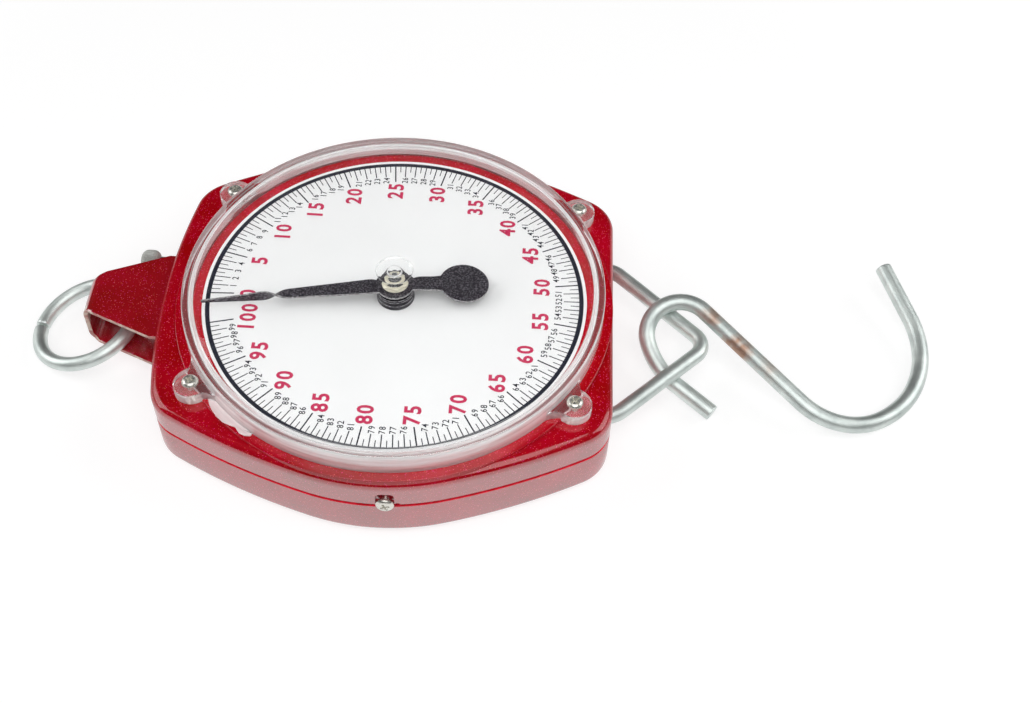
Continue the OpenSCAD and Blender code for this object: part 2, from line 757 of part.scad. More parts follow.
module rack_bar() {
  add = gear_m * 0.7;
  pitch = PI * gear_m;
  half = pitch / 4 - 0.06;
  x1 = head_x + head_w;
  color([0.8, 0.68, 0.35]) translate([0, 0, rack_z]) linear_extrude(height = 3) union() {
    translate([-29, pitch_r + 0.7]) square([x1 + 29, 4.2]);
    for (i = [-15 : 2]) translate([(i + 0.5) * pitch, pitch_r])
      polygon([[-half + add * tan(20), -add], [half - add * tan(20), -add],
        [half + 0.75 * tan(20), 0.75], [-half - 0.75 * tan(20), 0.75]]);
  }
}

module rack_guide() {
  y0 = pitch_r + 4.9 + run_fit;
  color([0.7, 0.7, 0.72]) {
    translate([-6, y0, 23.5]) cube([12, 7, bridge_z - 23.5]);
    for (x = [-3.5, 3.5]) translate([x, 13, bridge_z - 1]) cylinder(r = 1, h = 3);
  }
}

// The nose bend's centre, where the slanting legs run tangent to it
function bail_nose() =
  let (x = bail_bend_x + bail_bend_r * sin(bail_bend_a))
  let (y = bail_y - bail_bend_r + bail_bend_r * cos(bail_bend_a))
  (sin(bail_bend_a) * x + cos(bail_bend_a) * y - bail_nose_r) / sin(bail_bend_a);

module load_bail() {
  x1 = bail_bend_x + bail_bend_r * sin(bail_bend_a);
  y1 = bail_y - bail_bend_r * (1 - cos(bail_bend_a));
  run = norm([nose_x + bail_nose_r * sin(bail_bend_a) - x1, bail_nose_r * cos(bail_bend_a) - y1]);
  color([0.68, 0.69, 0.7]) translate([0, 0, bail_z]) {
    for (s = [0, 1]) mirror([0, s, 0]) {
      translate([head_x - 9, bail_y, 0]) rotate([0, 90, 0])
        cylinder(r = bail_wire_r - draw, h = bail_bend_x - head_x + 9 + lap);
      translate([bail_bend_x, bail_y - bail_bend_r, 0]) rotate([0, 0, 90 - bail_bend_a])
        rotate_extrude(angle = bail_bend_a) translate([bail_bend_r, 0])
          circle(r = bail_wire_r, $fn = 48);
      translate([x1, y1, 0]) rotate([0, 0, -bail_bend_a]) translate([-lap, 0, 0])
        rotate([0, 90, 0]) cylinder(r = bail_wire_r - draw, h = run + 2 * lap);
    }
    translate([nose_x, 0, 0]) rotate([0, 0, bail_bend_a - 90])
      rotate_extrude(angle = 180 - 2 * bail_bend_a) translate([bail_nose_r, 0])
        circle(r = bail_wire_r, $fn = 48);
  }
}

module bail_nuts() {
  color([0.75, 0.75, 0.76]) for (s = [-1, 1]) for (x = [head_x - 5.5, head_x + head_w])
    translate([x, s * bail_y, bail_z]) rotate([0, 90, 0]) difference() {
      hexagon(11, 5.5);
      translate([0, 0, -1]) cylinder(r = bail_wire_r, h = 10);
    }
}

// The hook's bends: length or radius, angle (0 for a straight), roll before it
hook_steps = [
  [hook_lead, 0, 0],
  [hook_climb_r, -37.37, -24.04],
  [hook_eye_r, -74.3, 0],
  [hook_eye_r, -74.27, 0],
  [hook_shank, 0, 0],
  [hook_bend_r, 71.07, -22.49],
  [hook_sweep_r, 83.94, 0],
  [hook_tip, 0, 0]
];

// Wire bent step by step: each step starts where the last one ends
// every second step is a hair thinner and laps into its neighbours; spun is the roll so far
module bent_wire(steps, r, i = 0, spun = 0) {
  if (i < len(steps)) {
    s = steps[i];
    flip = s[1] < 0 ? 180 : 0;
    turn = abs(s[1]);
    w = r - draw * (i % 2);
    over = lap * (i % 2);
    all = spun + s[2] + flip;
    rotate([s[2] + flip, 0, 0]) {
      if (turn == 0) {
        translate([-over, 0, 0]) rotate([-all, 0, 0]) rotate([0, 90, 0])
          cylinder(r = w, h = s[0] + 2 * over, $fn = 48);
        translate([s[0], 0, 0]) bent_wire(steps, r, i + 1, all);
      } else {
        e = over / s[0] * 180 / PI;
        translate([0, s[0], 0]) rotate([0, 0, -90 - e]) rotate_extrude(angle = turn + 2 * e)
          translate([s[0], 0]) rotate(all - 90) circle(r = w, $fn = 48);
        translate([0, s[0], 0]) rotate([0, 0, turn]) translate([0, -s[0], 0])
          rotate([-flip, 0, 0]) bent_wire(steps, r, i + 1, all - flip);
      }
    }
  }
}

module s_hook() {
  color([0.62, 0.63, 0.63]) translate([hook_x, -hook_off, hook_wire_r + 0.02])
    rotate([0, 0, 143.39])
    rotate([0, -9.81, 0]) bent_wire(hook_steps, hook_wire_r);
}

front_shell();
rear_shell();
side_screws();
lens_cover();
lens_screws();
dial_plate();
dial_bush();
hub_collar();
pointer();
pointer_nut();
pinion();
pinion_spindle();
bearing_bridge();
bridge_posts();
bridge_screws();
rear_bearing();
chassis_plate();
chassis_screws();
hanging_strap();
strap_bolts();
strap_spacers();
strap_nuts();
suspension_ring();
zero_knob();
zero_screw();
anchor_bar();
spring_left();
spring_right();
crosshead();
rack_bar();
rack_guide();
load_bail();
bail_nuts();
s_hook();
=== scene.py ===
"""Looks of the hanging dial scale, laid on its back on a pale table.

Metres throughout. +X runs to the load hook, -X to the hanging ring, +Z out of the dial.
"""

import math

import bmesh
import bpy
import numpy as np
from mathutils import Matrix


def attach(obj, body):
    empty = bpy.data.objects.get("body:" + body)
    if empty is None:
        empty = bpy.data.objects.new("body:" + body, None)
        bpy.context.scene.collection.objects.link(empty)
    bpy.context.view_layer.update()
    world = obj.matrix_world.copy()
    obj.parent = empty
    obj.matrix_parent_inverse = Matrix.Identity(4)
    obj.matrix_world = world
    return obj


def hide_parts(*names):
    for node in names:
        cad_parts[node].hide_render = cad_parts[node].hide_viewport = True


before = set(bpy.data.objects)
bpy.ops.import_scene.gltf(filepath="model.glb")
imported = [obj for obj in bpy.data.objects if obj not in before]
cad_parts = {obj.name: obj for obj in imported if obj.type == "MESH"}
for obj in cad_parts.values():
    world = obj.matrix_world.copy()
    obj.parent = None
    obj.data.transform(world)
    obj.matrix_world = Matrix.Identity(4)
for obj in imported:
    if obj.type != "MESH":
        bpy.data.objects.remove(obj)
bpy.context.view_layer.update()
MM = 0.001


# Camera
# The photograph was taken from the front, a little over half way up, with a
# mild wide lens. The place and the three axes were solved from the dial.
def new_object(name, data):
    """An object for a camera, a lamp or a mesh, put into the scene."""
    made = bpy.data.objects.new(name, data)
    bpy.context.scene.collection.objects.link(made)
    return made


camera_data = bpy.data.cameras.new("camera")
camera_data.sensor_width = 36.0
camera_data.lens = 48.096
camera_data.clip_start = 0.01
camera = new_object("camera", camera_data)
camera.matrix_world = Matrix((
    (0.998523, -0.054303, 0.001744, 0.05488422),
    (0.043700, 0.783665, -0.619645, -0.38934399),
    (0.032282, 0.618806, 0.784880, 0.49677404),
    (0.0, 0.0, 0.0, 1.0)))
bpy.context.scene.camera = camera
bpy.context.scene.view_settings.view_transform = "Standard"


# Light
# A dim room over a white table, one broad soft lamp overhead and one at each
# side. From the photograph's place the lens and the case's flat mirror none.
ROOM_LIGHT = 0.015


def feed(tree, node, values):
    """Fills a node's inputs by name or number. A socket, or a node's first output, is linked to
    the input, and any other value is set on it."""
    for key, value in values.items():
        if isinstance(value, bpy.types.Node):
            value = value.outputs[0]
        if isinstance(value, bpy.types.NodeSocket):
            tree.links.new(value, node.inputs[key])
        else:
            node.inputs[key].default_value = value
    return node


def add_node(tree, kind, values=None, **settings):
    """A new shader node with its settings made and its inputs filled."""
    node = tree.nodes.new("ShaderNode" + kind)
    for key, value in settings.items():
        setattr(node, key, value)
    return feed(tree, node, values or {})


def remap(tree, value, low=0.0, high=1.0, to_low=0.0, to_high=1.0, **settings):
    """Carries low..high of a value to to_low..to_high in a straight line, held at both ends."""
    limits = {"From Min": low, "From Max": high, "To Min": to_low, "To Max": to_high}
    return add_node(tree, "MapRange", {"Value": value, **limits}, **settings)


world = bpy.data.worlds.new("dim_room")
bpy.context.scene.world = world
world.use_nodes = True
room = world.node_tree
room_level = remap(room, add_node(room, "LightPath").outputs["Is Camera Ray"], to_low=ROOM_LIGHT)
feed(room, room.nodes["Background"], {"Color": (1, 1, 1, 1), "Strength": room_level})


def soft_lamp(name, place, size, watts):
    """A square lamp at place that faces the origin: its -Z axis is the line between them."""
    lamp = bpy.data.lights.new(name, "AREA")
    lamp.size = size
    lamp.energy = watts
    held = new_object(name, lamp)
    held.location = place
    held.rotation_euler = (-held.location).to_track_quat("-Z", "Y").to_euler()


soft_lamp("lamp_top", (0.10, -0.60, 1.15), size=1.3, watts=11.6)
soft_lamp("lamp_left", (-1.30, 0.15, 0.78), size=1.1, watts=9.0)
soft_lamp("lamp_right", (1.20, 0.20, 0.75), size=1.0, watts=7.8)


# Floor
# The pale table top. It is white to the eye, to gloss and to glass, and keeps
# a soft shadow of the scale.
TABLE_HALF, TABLE_DROP = 4.0, 0.0003
CLOTH_WHITE, CLOTH_SEEN = 0.9, 0.34
GLOW_NEAR, GLOW_FAR, GLOW_LEAST = 0.3, 1.6, 0.74


def new_finish(name):
    """A fresh material: the material, its node tree and its Principled shader."""
    finish = bpy.data.materials.new(name)
    finish.use_nodes = True
    tree = finish.node_tree
    return finish, tree, tree.nodes["Principled BSDF"]


def object_place(tree):
    """The socket that gives each point's place on the object, in metres."""
    return add_node(tree, "TexCoord").outputs["Object"]


def maths(tree, operation, first, second, **settings):
    """One operation on two values, each a socket, a node or a number."""
    return add_node(tree, "Math", {0: first, 1: second}, operation=operation, **settings)


def table_finish():
    """White cloth under the lamps. To the eye it is a third lit cloth over a glow that rises
    with distance, and to gloss and glass it is plain white."""
    finish, tree, shader = new_finish("pale_table")
    tree.nodes.remove(shader)
    off = add_node(tree, "VectorMath", {0: object_place(tree)}, operation="LENGTH")
    rising = remap(tree, off.outputs["Value"], GLOW_NEAR, GLOW_FAR, GLOW_LEAST)
    glow = add_node(tree, "Emission", {"Strength": rising})
    white = add_node(tree, "Emission")
    cloth = add_node(tree, "BsdfDiffuse", {"Color": (CLOTH_WHITE, CLOTH_WHITE, CLOTH_WHITE, 1)})
    lit = add_node(tree, "BsdfDiffuse", {"Color": (CLOTH_SEEN, CLOTH_SEEN, CLOTH_SEEN, 1)})
    seen = add_node(tree, "AddShader", {0: lit, 1: glow})
    ray = add_node(tree, "LightPath").outputs
    mirrored = maths(tree, "MAXIMUM", ray["Is Glossy Ray"], ray["Is Transmission Ray"])
    unseen = add_node(tree, "MixShader", {"Fac": mirrored, 1: cloth, 2: white})
    surface = add_node(tree, "MixShader", {"Fac": ray["Is Camera Ray"], 1: unseen, 2: seen})
    feed(tree, tree.nodes["Material Output"], {"Surface": surface})
    return finish


floor_mesh = bpy.data.meshes.new("table_top")
floor_mesh.from_pydata([(x * TABLE_HALF, y * TABLE_HALF, -TABLE_DROP)
                        for x, y in ((-1, -1), (1, -1), (1, 1), (-1, 1))], [], [(0, 1, 2, 3)])
floor = new_object("table_top", floor_mesh)
floor_mesh.materials.append(table_finish())


# Case halves
# Two pressed shells that meet at a thin seam, sprayed deep red with fine metal
# flake. The front half has a round land for the lens and a slot over each
# side screw, and the back half carries everything inside.
RIGHT_X, LEFT_X, CORNER_R = 95.3, 102.0, 19.0
APEX_R, APEX_Y, APEX_HALF = 99.0, 96.0, math.radians(16.7)
SIDE_R, BOW_R = 300.0, 300.0
SEAM_Z, SEAM_GAP, FACE_Z, EDGE_R, SHELL_T = 19.5, 0.2, 35.2, 4.0, 2.0
STEP_TOP, STEP_DEEP = 1.55, 0.9
LIP_IN, LIP_OUT, LIP_TOP, LIP_FOOT = 3.6, 2.05, 22.0, 17.0
LAND_Z, LAND_R, LAND_HOLE, LAND_FOOT, LAND_EDGE = 36.5, 95.0, 60.0, 33.3, 0.5
# The paint: flakes from cells so small, picked above a share, and the heights in metres
# between which the lacquer thins.
FLAKES_PER_M, FLAKE_CUT, LACQUER_THINS = 3600, 0.962, (0.0305, 0.0345)


def arc(centre, radius, start, end, count):
    """count points on a circle from start to end: centre + radius (cos a, sin a)."""
    a = np.linspace(start, end, count)
    return np.stack([centre[0] + radius * np.cos(a), centre[1] + radius * np.sin(a)], 1)


def case_outline(inset):
    """The case's plan as a closed loop of points: eight tangent arcs and one straight side,
    each arc's radius less the inset."""
    apex_c = APEX_Y - APEX_R
    side_cx = (SIDE_R - APEX_R) * math.sin(APEX_HALF)
    side_cy = (SIDE_R - APEX_R) * math.cos(APEX_HALF) - apex_c
    right_cx = RIGHT_X - CORNER_R
    right_a = math.acos((right_cx + side_cx) / (SIDE_R - CORNER_R))
    right_cy = (SIDE_R - CORNER_R) * math.sin(right_a) - side_cy
    first = np.array([side_cx, -side_cy])
    second = np.array([BOW_R - LEFT_X, 0.0])
    apart = np.linalg.norm(second - first)
    along = (second - first) / apart
    reach = (SIDE_R - CORNER_R) ** 2 - (BOW_R - CORNER_R) ** 2
    near = (reach + apart ** 2) / (2 * apart)
    off = math.sqrt((SIDE_R - CORNER_R) ** 2 - near ** 2)
    left_c = first + near * along + off * np.array([-along[1], along[0]])
    left_a = math.atan2(left_c[1] + side_cy, left_c[0] - side_cx)
    bow_a = math.atan2(left_c[1], left_c[0] - second[0])
    up = math.pi / 2
    half = np.concatenate([
        arc((right_cx, right_cy), CORNER_R - inset, 0, right_a, 12),
        arc((-side_cx, -side_cy), SIDE_R - inset, right_a, up - APEX_HALF, 12)[1:],
        arc((0, apex_c), APEX_R - inset, up - APEX_HALF, up + APEX_HALF, 41)[1:],
        arc((side_cx, -side_cy), SIDE_R - inset, up + APEX_HALF, left_a, 12)[1:],
        arc(left_c, CORNER_R - inset, left_a, bow_a, 12)[1:],
        arc(second, BOW_R - inset, bow_a, math.pi, 12)[1:]])
    other = half[-2::-1] * np.array([1, -1])
    return np.concatenate([half, other])


def grid_faces(rows, columns, wrap, close=False):
    """Quads over a grid of rows by columns points. wrap joins the last column to the first,
    and close the last row to the first."""
    r = np.arange(rows if close else rows - 1)[:, None]
    c = np.arange(columns if wrap else columns - 1)[None, :]
    above, n = (r + 1) % rows, (c + 1) % columns
    quads = np.stack([r * columns + c, r * columns + n, above * columns + n,
                      above * columns + c], -1)
    return quads.reshape(-1, 4)


def capped_faces(rows, columns, flip=False):
    """Faces of a form with flat ends: a wrapped grid and one polygon at each end."""
    faces = grid_faces(rows, columns, True).tolist()
    faces.append(list(range(columns))[::-1])
    faces.append(list(range((rows - 1) * columns, rows * columns)))
    return [f[::-1] for f in faces] if flip else faces


def pole_fan(pole, first, count, flip=False):
    """Triangles from a pole point to a ring of count points, numbered from first."""
    k = np.arange(count)
    fan = np.stack([np.full(count, pole), first + k, first + (k + 1) % count], 1)
    return (fan[:, ::-1] if flip else fan).tolist()


def add_piece(name, points, faces, finish, body, stands_for=(), angle=32, slot=None):
    """Puts points in millimetres and faces into a mesh at the origin, smooth up to angle
    degrees, and has it ride on a body."""
    mesh = bpy.data.meshes.new(name)
    mesh.from_pydata(np.asarray(points, float) * MM, [], [tuple(f) for f in faces])
    mesh.update()
    mesh.polygons.foreach_set("use_smooth", np.ones(len(mesh.polygons), bool))
    mesh.set_sharp_from_angle(angle=math.radians(angle))
    mesh.materials.append(finish)
    piece = new_object(name, mesh)
    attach(piece, body)
    if stands_for:
        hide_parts(*stands_for)
    return piece


def edge_round(z, radius, start, end, count=9):
    """Quarter round as (inset, height) steps: inset edge - r cos a, height z + r sin a."""
    a = np.radians(np.linspace(start, end, count))
    return [(EDGE_R - radius * math.cos(t), z + radius * math.sin(t)) for t in a]


def shell_form(steps):
    """Rings of the case outline, one per (inset, height) step, capped at both ends."""
    rings = []
    for inset, height in steps:
        loop = case_outline(inset)
        rings.append(np.column_stack([loop, np.full(len(loop), height)]))
    downwards = rings[0][0, 2] > rings[1][0, 2]
    return np.concatenate(rings), capped_faces(len(rings), len(rings[0]), flip=downwards)


LATHE_SIDES = 192


def turned_form(profile, sides=LATHE_SIDES, close=True):
    """A lathe form: each (radius, height) point goes round the Z axis as (r cos a, r sin a, h).
    A closed profile joins its last ring to its first. An open one starts and ends on the axis,
    and has a pole point at each end."""
    profile = np.asarray(profile, float)
    a = np.linspace(0, 2 * np.pi, sides, endpoint=False)
    body = profile if close else profile[1:-1]
    rings = np.stack([body[:, :1] * np.cos(a), body[:, :1] * np.sin(a),
                      np.repeat(body[:, 1:], sides, 1)], -1).reshape(-1, 3)
    faces = grid_faces(len(body), sides, True, close).tolist()
    if close:
        return rings, faces
    pole = len(rings)
    faces += pole_fan(pole, 0, sides, flip=True) + pole_fan(pole + 1, pole - sides, sides)
    return np.concatenate([rings, [[0, 0, profile[0, 1]], [0, 0, profile[-1, 1]]]]), faces


def noise(tree, place, scale, detail=2):
    """Fractal noise with so many cells to a unit of the place, from 0 to 1."""
    return add_node(tree, "TexNoise", {"Vector": place, "Scale": scale, "Detail": detail})


def two_tones(tree, share, first, second, start=0.0, end=1.0):
    """The first colour up to a share of start, the second from end, blended in between."""
    ramp = add_node(tree, "ValToRGB", {0: share})
    low, high = ramp.color_ramp.elements
    low.position, low.color = start, (*first, 1)
    high.position, high.color = end, (*second, 1)
    return ramp


def layer(tree, share, under, over):
    """One colour laid over another by a share of 0 to 1."""
    mix = add_node(tree, "Mix", {0: share, 6: under, 7: over}, data_type="RGBA")
    return mix.outputs[2]


def bumps(tree, height, strength, distance):
    """A normal that follows a height, whose whole range is a distance in metres."""
    return add_node(tree, "Bump", {"Height": height, "Strength": strength, "Distance": distance})


def flake_paint(name, chip=None):
    """Deep red under clear lacquer. Tiny cells pick out gold and pink flakes, larger noise
    varies the depth of the red, and a fine noise gives the lacquer its skin. The lacquer is
    glossy on the walls and thin on top. chip is a place and a reach within which noise cuts
    the paint down to bare metal."""
    finish, tree, shader = new_finish(name)
    place = object_place(tree)
    cells = add_node(tree, "TexVoronoi", {"Vector": place, "Scale": FLAKES_PER_M})
    lot = add_node(tree, "SeparateColor", {0: cells.outputs["Color"]}).outputs
    is_flake = maths(tree, "GREATER_THAN", lot[0], FLAKE_CUT)
    flake = two_tones(tree, lot[1], (0.85, 0.03, 0.24), (0.80, 0.12, 0.06))
    red = two_tones(tree, noise(tree, place, 60), (0.36, 0.0, 0.002), (0.48, 0.0, 0.014),
                    0.3, 0.7)
    colour = layer(tree, is_flake, red, flake)
    if chip:
        off = add_node(tree, "VectorMath", {0: place, 1: chip[:3]}, operation="DISTANCE")
        near = remap(tree, off.outputs["Value"], chip[3], 0.0)
        worn = maths(tree, "MULTIPLY", near, noise(tree, place, 500))
        colour = layer(tree, remap(tree, worn, 0.16, 0.22), colour, (0.66, 0.58, 0.50, 1))
    height = add_node(tree, "SeparateXYZ", {0: place}).outputs["Z"]
    feed(tree, shader, {
        "Base Color": colour, "Roughness": 0.5, "Specular IOR Level": 0.03,
        "Coat Weight": remap(tree, height, *LACQUER_THINS, 1.0, 0.25),
        "Coat Roughness": 0.12, "Coat IOR": 3.0,
        "Coat Normal": bumps(tree, noise(tree, place, 420), 0.08, 0.0003)})
    return finish


def plain_finish(name, tint, worn, scale, rough, metal):
    """Two tones mixed by noise of a given scale: for cut edges, for the seam's red that is
    brightened as painted light against its shade, and for the painted highlights on the bush's
    edges.
    """
    finish, tree, shader = new_finish(name)
    cloud = noise(tree, object_place(tree), scale)
    feed(tree, shader, {"Base Color": two_tones(tree, cloud, tint, worn, 0.4, 0.6),
                        "Roughness": rough, "Metallic": metal})
    return finish


def second_finish(piece, finish, chosen):
    """Gives a piece a second material on its chosen faces, a true or false for each."""
    piece.data.materials.append(finish)
    piece.data.polygons.foreach_set("material_index", np.asarray(chosen).astype(np.int32))
    piece.data.update()


def face_centres(piece):
    """The middle of every face of a piece, in millimetres."""
    middle = np.empty(len(piece.data.polygons) * 3)
    piece.data.polygons.foreach_get("center", middle)
    return middle.reshape(-1, 3) / MM


paint = flake_paint("red_flake_paint")
# The seam's red is painted light: a brighter, uncoated red that lifts the shade out of the groove
# at the seam.
seam_brightened_red = plain_finish("seam_primer", (0.74, 0.00, 0.02), (0.92, 0.01, 0.05), 300, 0.6, 0.0)
edge_z, step_z = FACE_Z - EDGE_R, SEAM_Z + STEP_TOP
front_steps = [(0, edge_z - 6), (0, step_z + 0.2), (0.12, step_z + 0.03), (0.8, step_z),
               (STEP_DEEP, step_z - 0.1), (STEP_DEEP, SEAM_Z + SEAM_GAP),
               (SHELL_T, SEAM_Z + SEAM_GAP), (SHELL_T, 25), (SHELL_T, edge_z)]
front_shell = add_piece("case_front", *shell_form(
    edge_round(edge_z, EDGE_R, 90, 0) + front_steps
    + edge_round(edge_z, EDGE_R - SHELL_T, 0, 90, 4)),
    paint, "case", ["front_shell"], slot="red_paint")
land_edge = [(LAND_R - LAND_EDGE * (1 - math.sin(t)), LAND_Z - LAND_EDGE * (1 - math.cos(t)))
             for t in np.linspace(0, math.pi / 2, 6)]
add_piece("case_land", *turned_form(
    [(LAND_HOLE, LAND_FOOT), (LAND_HOLE, LAND_Z)] + land_edge + [(LAND_R, LAND_FOOT)]),
    paint, "case", slot="red_paint")
rear_steps = [(0, SEAM_Z - 0.55), (0.15, SEAM_Z - 0.28), (0.4, SEAM_Z - SEAM_GAP),
              (LIP_OUT, SEAM_Z - SEAM_GAP), (LIP_OUT, LIP_TOP), (LIP_IN, LIP_TOP),
              (LIP_IN, LIP_FOOT), (SHELL_T, LIP_FOOT - LIP_IN + SHELL_T)]
rear_shell = add_piece("case_back", *shell_form(
    edge_round(EDGE_R, EDGE_R, -90, 0) + rear_steps
    + edge_round(EDGE_R, EDGE_R - SHELL_T, 0, -90, 4)),
    paint, "case", ["rear_shell"], slot="red_paint")


def column_form(outline, low, high, axis):
    """A closed outline of (u, v) points carried from low to high along an axis: 0 gives (t, u,
    v), 1 gives (u, t, v), 2 gives (u, v, t)."""
    outline = np.asarray(outline, float)
    ends = [np.insert(outline, axis, level, 1) for level in (low, high)]
    return np.concatenate(ends), capped_faces(2, len(outline))


def join_forms(*forms):
    """Several (points, faces) forms as one, each form's face numbers raised by the points
    before it."""
    points, faces, base = [], [], 0
    for form_points, form_faces in forms:
        points.append(form_points)
        faces += [[v + base for v in f] for f in form_faces]
        base += len(form_points)
    return np.concatenate(points), faces


def cut_away(piece, forms, angle=32):
    """Takes closed forms out of a piece by an exact boolean difference, whose result becomes
    the piece's mesh."""
    for points, faces in forms:
        mesh = bpy.data.meshes.new("cutter")
        mesh.from_pydata(np.asarray(points, float) * MM, [], [tuple(f) for f in faces])
        outward = bmesh.new()
        outward.from_mesh(mesh)
        bmesh.ops.recalc_face_normals(outward, faces=outward.faces)
        outward.to_mesh(mesh)
        outward.free()
        cutter = new_object("cutter", mesh)
        cut = piece.modifiers.new("cut", "BOOLEAN")
        cut.operation, cut.solver, cut.object = "DIFFERENCE", "EXACT", cutter
        bpy.context.view_layer.update()
        shaped = piece.evaluated_get(bpy.context.evaluated_depsgraph_get())
        whole = piece.data
        piece.data = bpy.data.meshes.new_from_object(shaped)
        piece.data.name = whole.name
        piece.modifiers.clear()
        bpy.data.meshes.remove(whole)
        bpy.data.objects.remove(cutter)
        bpy.data.meshes.remove(mesh)
    piece.data.polygons.foreach_set("use_smooth", np.ones(len(piece.data.polygons), bool))
    piece.data.set_sharp_from_angle(angle=math.radians(angle))


def slot_outline(half, low, top, corner):
    """An upright slot's section: two straight sides and two round corners on top."""
    left = arc((SCREW_X - half + corner, top - corner), corner, np.pi, np.pi / 2, 7)
    right = arc((SCREW_X + half - corner, top - corner), corner, np.pi / 2, 0, 7)
    return np.concatenate([[(SCREW_X - half, low)], left, right, [(SCREW_X + half, low)]])


def hole_outline(centre, radius, sides=40):
    """A round hole's section: an arc that stops a short step before its start."""
    return arc(centre, radius, 0, 1.95 * np.pi, sides)


# The openings: a slot with a nick round each side screw, holes for the bail and the zero
# screw, slits for the strap, and countersinks for the chassis screws in the back. A tab
# behind each slot closes it.
SCREW_X, SCREW_Z = 4.4, 21.75
SLOT_HALF, SLOT_TOP, SLOT_CORNER, SLOT_Y = 3.8, 28.4, 2.2, (90.0, 99.0)
NICK_R, NICK_X, NICK_Z = 1.3, SCREW_X + SLOT_HALF + 1.2, SEAM_Z + 1.4
TAB_HALF, TAB_LOW, TAB_TOP, TAB_CORNER, TAB_Y = 7.0, 17.5, 29.8, 1.2, (90.7, 93.9)
SLIT_HALF, SLIT_T, SLIT_LOWS, LEFT_WALL = 23.9, 2.6, (7.7, 27.7), (-110, -90)
ZERO_HOLE_Y, ZERO_HOLE_Z, ZERO_HOLE_R = 29.0, 19.0, 3.1
BAIL_HOLE_Y, BAIL_HOLE_Z, BAIL_HOLE_R, RIGHT_WALL = 42.0, 15.1, 4.3, (80, 100)
SINK_HEAD_R, SINK_HOLE_R, SINK_X, SINK_Y = 4.3, 2.1, (-60, 48), (-30, 30)
slot_plan = slot_outline(SLOT_HALF, SEAM_Z - 2, SLOT_TOP, SLOT_CORNER)
nick_plan = hole_outline((NICK_X, NICK_Z), NICK_R, 20)
tab_plan = slot_outline(TAB_HALF, TAB_LOW, TAB_TOP, TAB_CORNER)
side_slots = [column_form(plan, *sorted(side * y for y in SLOT_Y), 1)
              for side in (1, -1) for plan in (slot_plan, nick_plan)]
tabs = [column_form(tab_plan, *sorted(side * y for y in TAB_Y), 1) for side in (1, -1)]
wall_slots = [column_form([(-SLIT_HALF, z), (SLIT_HALF, z), (SLIT_HALF, z + SLIT_T),
                           (-SLIT_HALF, z + SLIT_T)], *LEFT_WALL, 0) for z in SLIT_LOWS]
wall_slots.append(column_form(hole_outline((ZERO_HOLE_Y, ZERO_HOLE_Z), ZERO_HOLE_R),
                              *LEFT_WALL, 0))
wall_slots += [column_form(hole_outline((side * BAIL_HOLE_Y, BAIL_HOLE_Z), BAIL_HOLE_R),
                           *RIGHT_WALL, 0) for side in (-1, 1)]
sink, sink_faces = turned_form(
    [(0, -1), (SINK_HEAD_R, -1), (SINK_HEAD_R, -0.02), (SINK_HOLE_R, SINK_HOLE_R),
     (SINK_HOLE_R, 12), (0, 12)], sides=48, close=False)
sinks = [(sink + (x, y, 0), sink_faces) for x in SINK_X for y in SINK_Y]
cut_away(front_shell, side_slots + wall_slots[:3])
# The recess above the seam takes that brightened red, painted light against the shade under the
# front half's lip.
height = face_centres(front_shell)[:, 2] - SEAM_Z
second_finish(front_shell, seam_brightened_red, (height > SEAM_GAP + 0.05) & (height < STEP_TOP + 0.1))
cut_away(rear_shell, wall_slots + sinks)
# The ledge on top of the back half takes the same brightened red, painted light against its shade.
height = face_centres(rear_shell)[:, 2] - SEAM_Z
second_finish(rear_shell, seam_brightened_red, (height > -SEAM_GAP - 0.1) & (height < -SEAM_GAP + 0.1))
add_piece("case_tabs", *join_forms(*tabs), paint, "case", slot="red_paint")


# Works
# The steel chassis in the back half, its bridge, bearings, springs, rack and
# pinion. They can't be seen with the case shut, and keep the solids' own shape.
def sheet_finish(name, tint, rough, grain, metal=1.0):
    """Zinc-plated or turned metal: a long noise, stretched by grain, draws the rolling marks,
    and a large one the cloudy plating."""
    finish, tree, shader = new_finish(name)
    place = object_place(tree)
    marks = noise(tree, add_node(tree, "Mapping", {"Vector": place, "Scale": grain}), 600)
    dark = (tint[0] * 0.72, tint[1] * 0.72, tint[2] * 0.74)
    feed(tree, shader, {
        "Base Color": two_tones(tree, noise(tree, place, 45), dark, tint, 0.3, 0.72),
        "Roughness": remap(tree, marks, to_low=rough - 0.1, to_high=rough + 0.12),
        "Normal": bumps(tree, marks, 0.12, 0.0002), "Metallic": metal})
    return finish


def dress(finish, *names):
    """Puts a finish on the solids of the frame, whose shape is left as it is."""
    for name in names:
        solid = bpy.data.objects[name]
        solid.data.materials.clear()
        solid.data.materials.append(finish)


zinc_sheet = sheet_finish("zinc_sheet", (0.62, 0.62, 0.60), 0.38, (0.05, 1, 1))
turned_steel = sheet_finish("turned_steel", (0.60, 0.60, 0.61), 0.26, (1, 1, 0.05))
brass = sheet_finish("machined_brass", (0.72, 0.52, 0.22), 0.28, (1, 1, 0.05))
spring_wire = sheet_finish("drawn_wire", (0.42, 0.42, 0.43), 0.3, (1, 0.1, 0.1))
dress(zinc_sheet, "chassis_plate", "bearing_bridge", "rack_guide", "anchor_bar", "crosshead")
dress(turned_steel, "bridge_posts", "pinion_spindle", "zero_screw", "strap_bolts",
      "strap_spacers", "strap_nuts", "bail_nuts", "bridge_screws", "chassis_screws")
dress(brass, "pinion", "rear_bearing", "rack_bar")
dress(spring_wire, "spring_left", "spring_right")


# Hanging strap
# A strip of 2 mm steel folded into a U, painted with the case. It narrows to
# the fold, where the ring hangs, and is bolted to the chassis behind the dial.
STRAP_T, STRAP_LOW, STRAP_TOP, FOLD_X, FOLD_R = 2.0, 8.0, 30.0, -137.0, 5.4
STRAP_END, STRAP_BEVEL = -62, 0.35
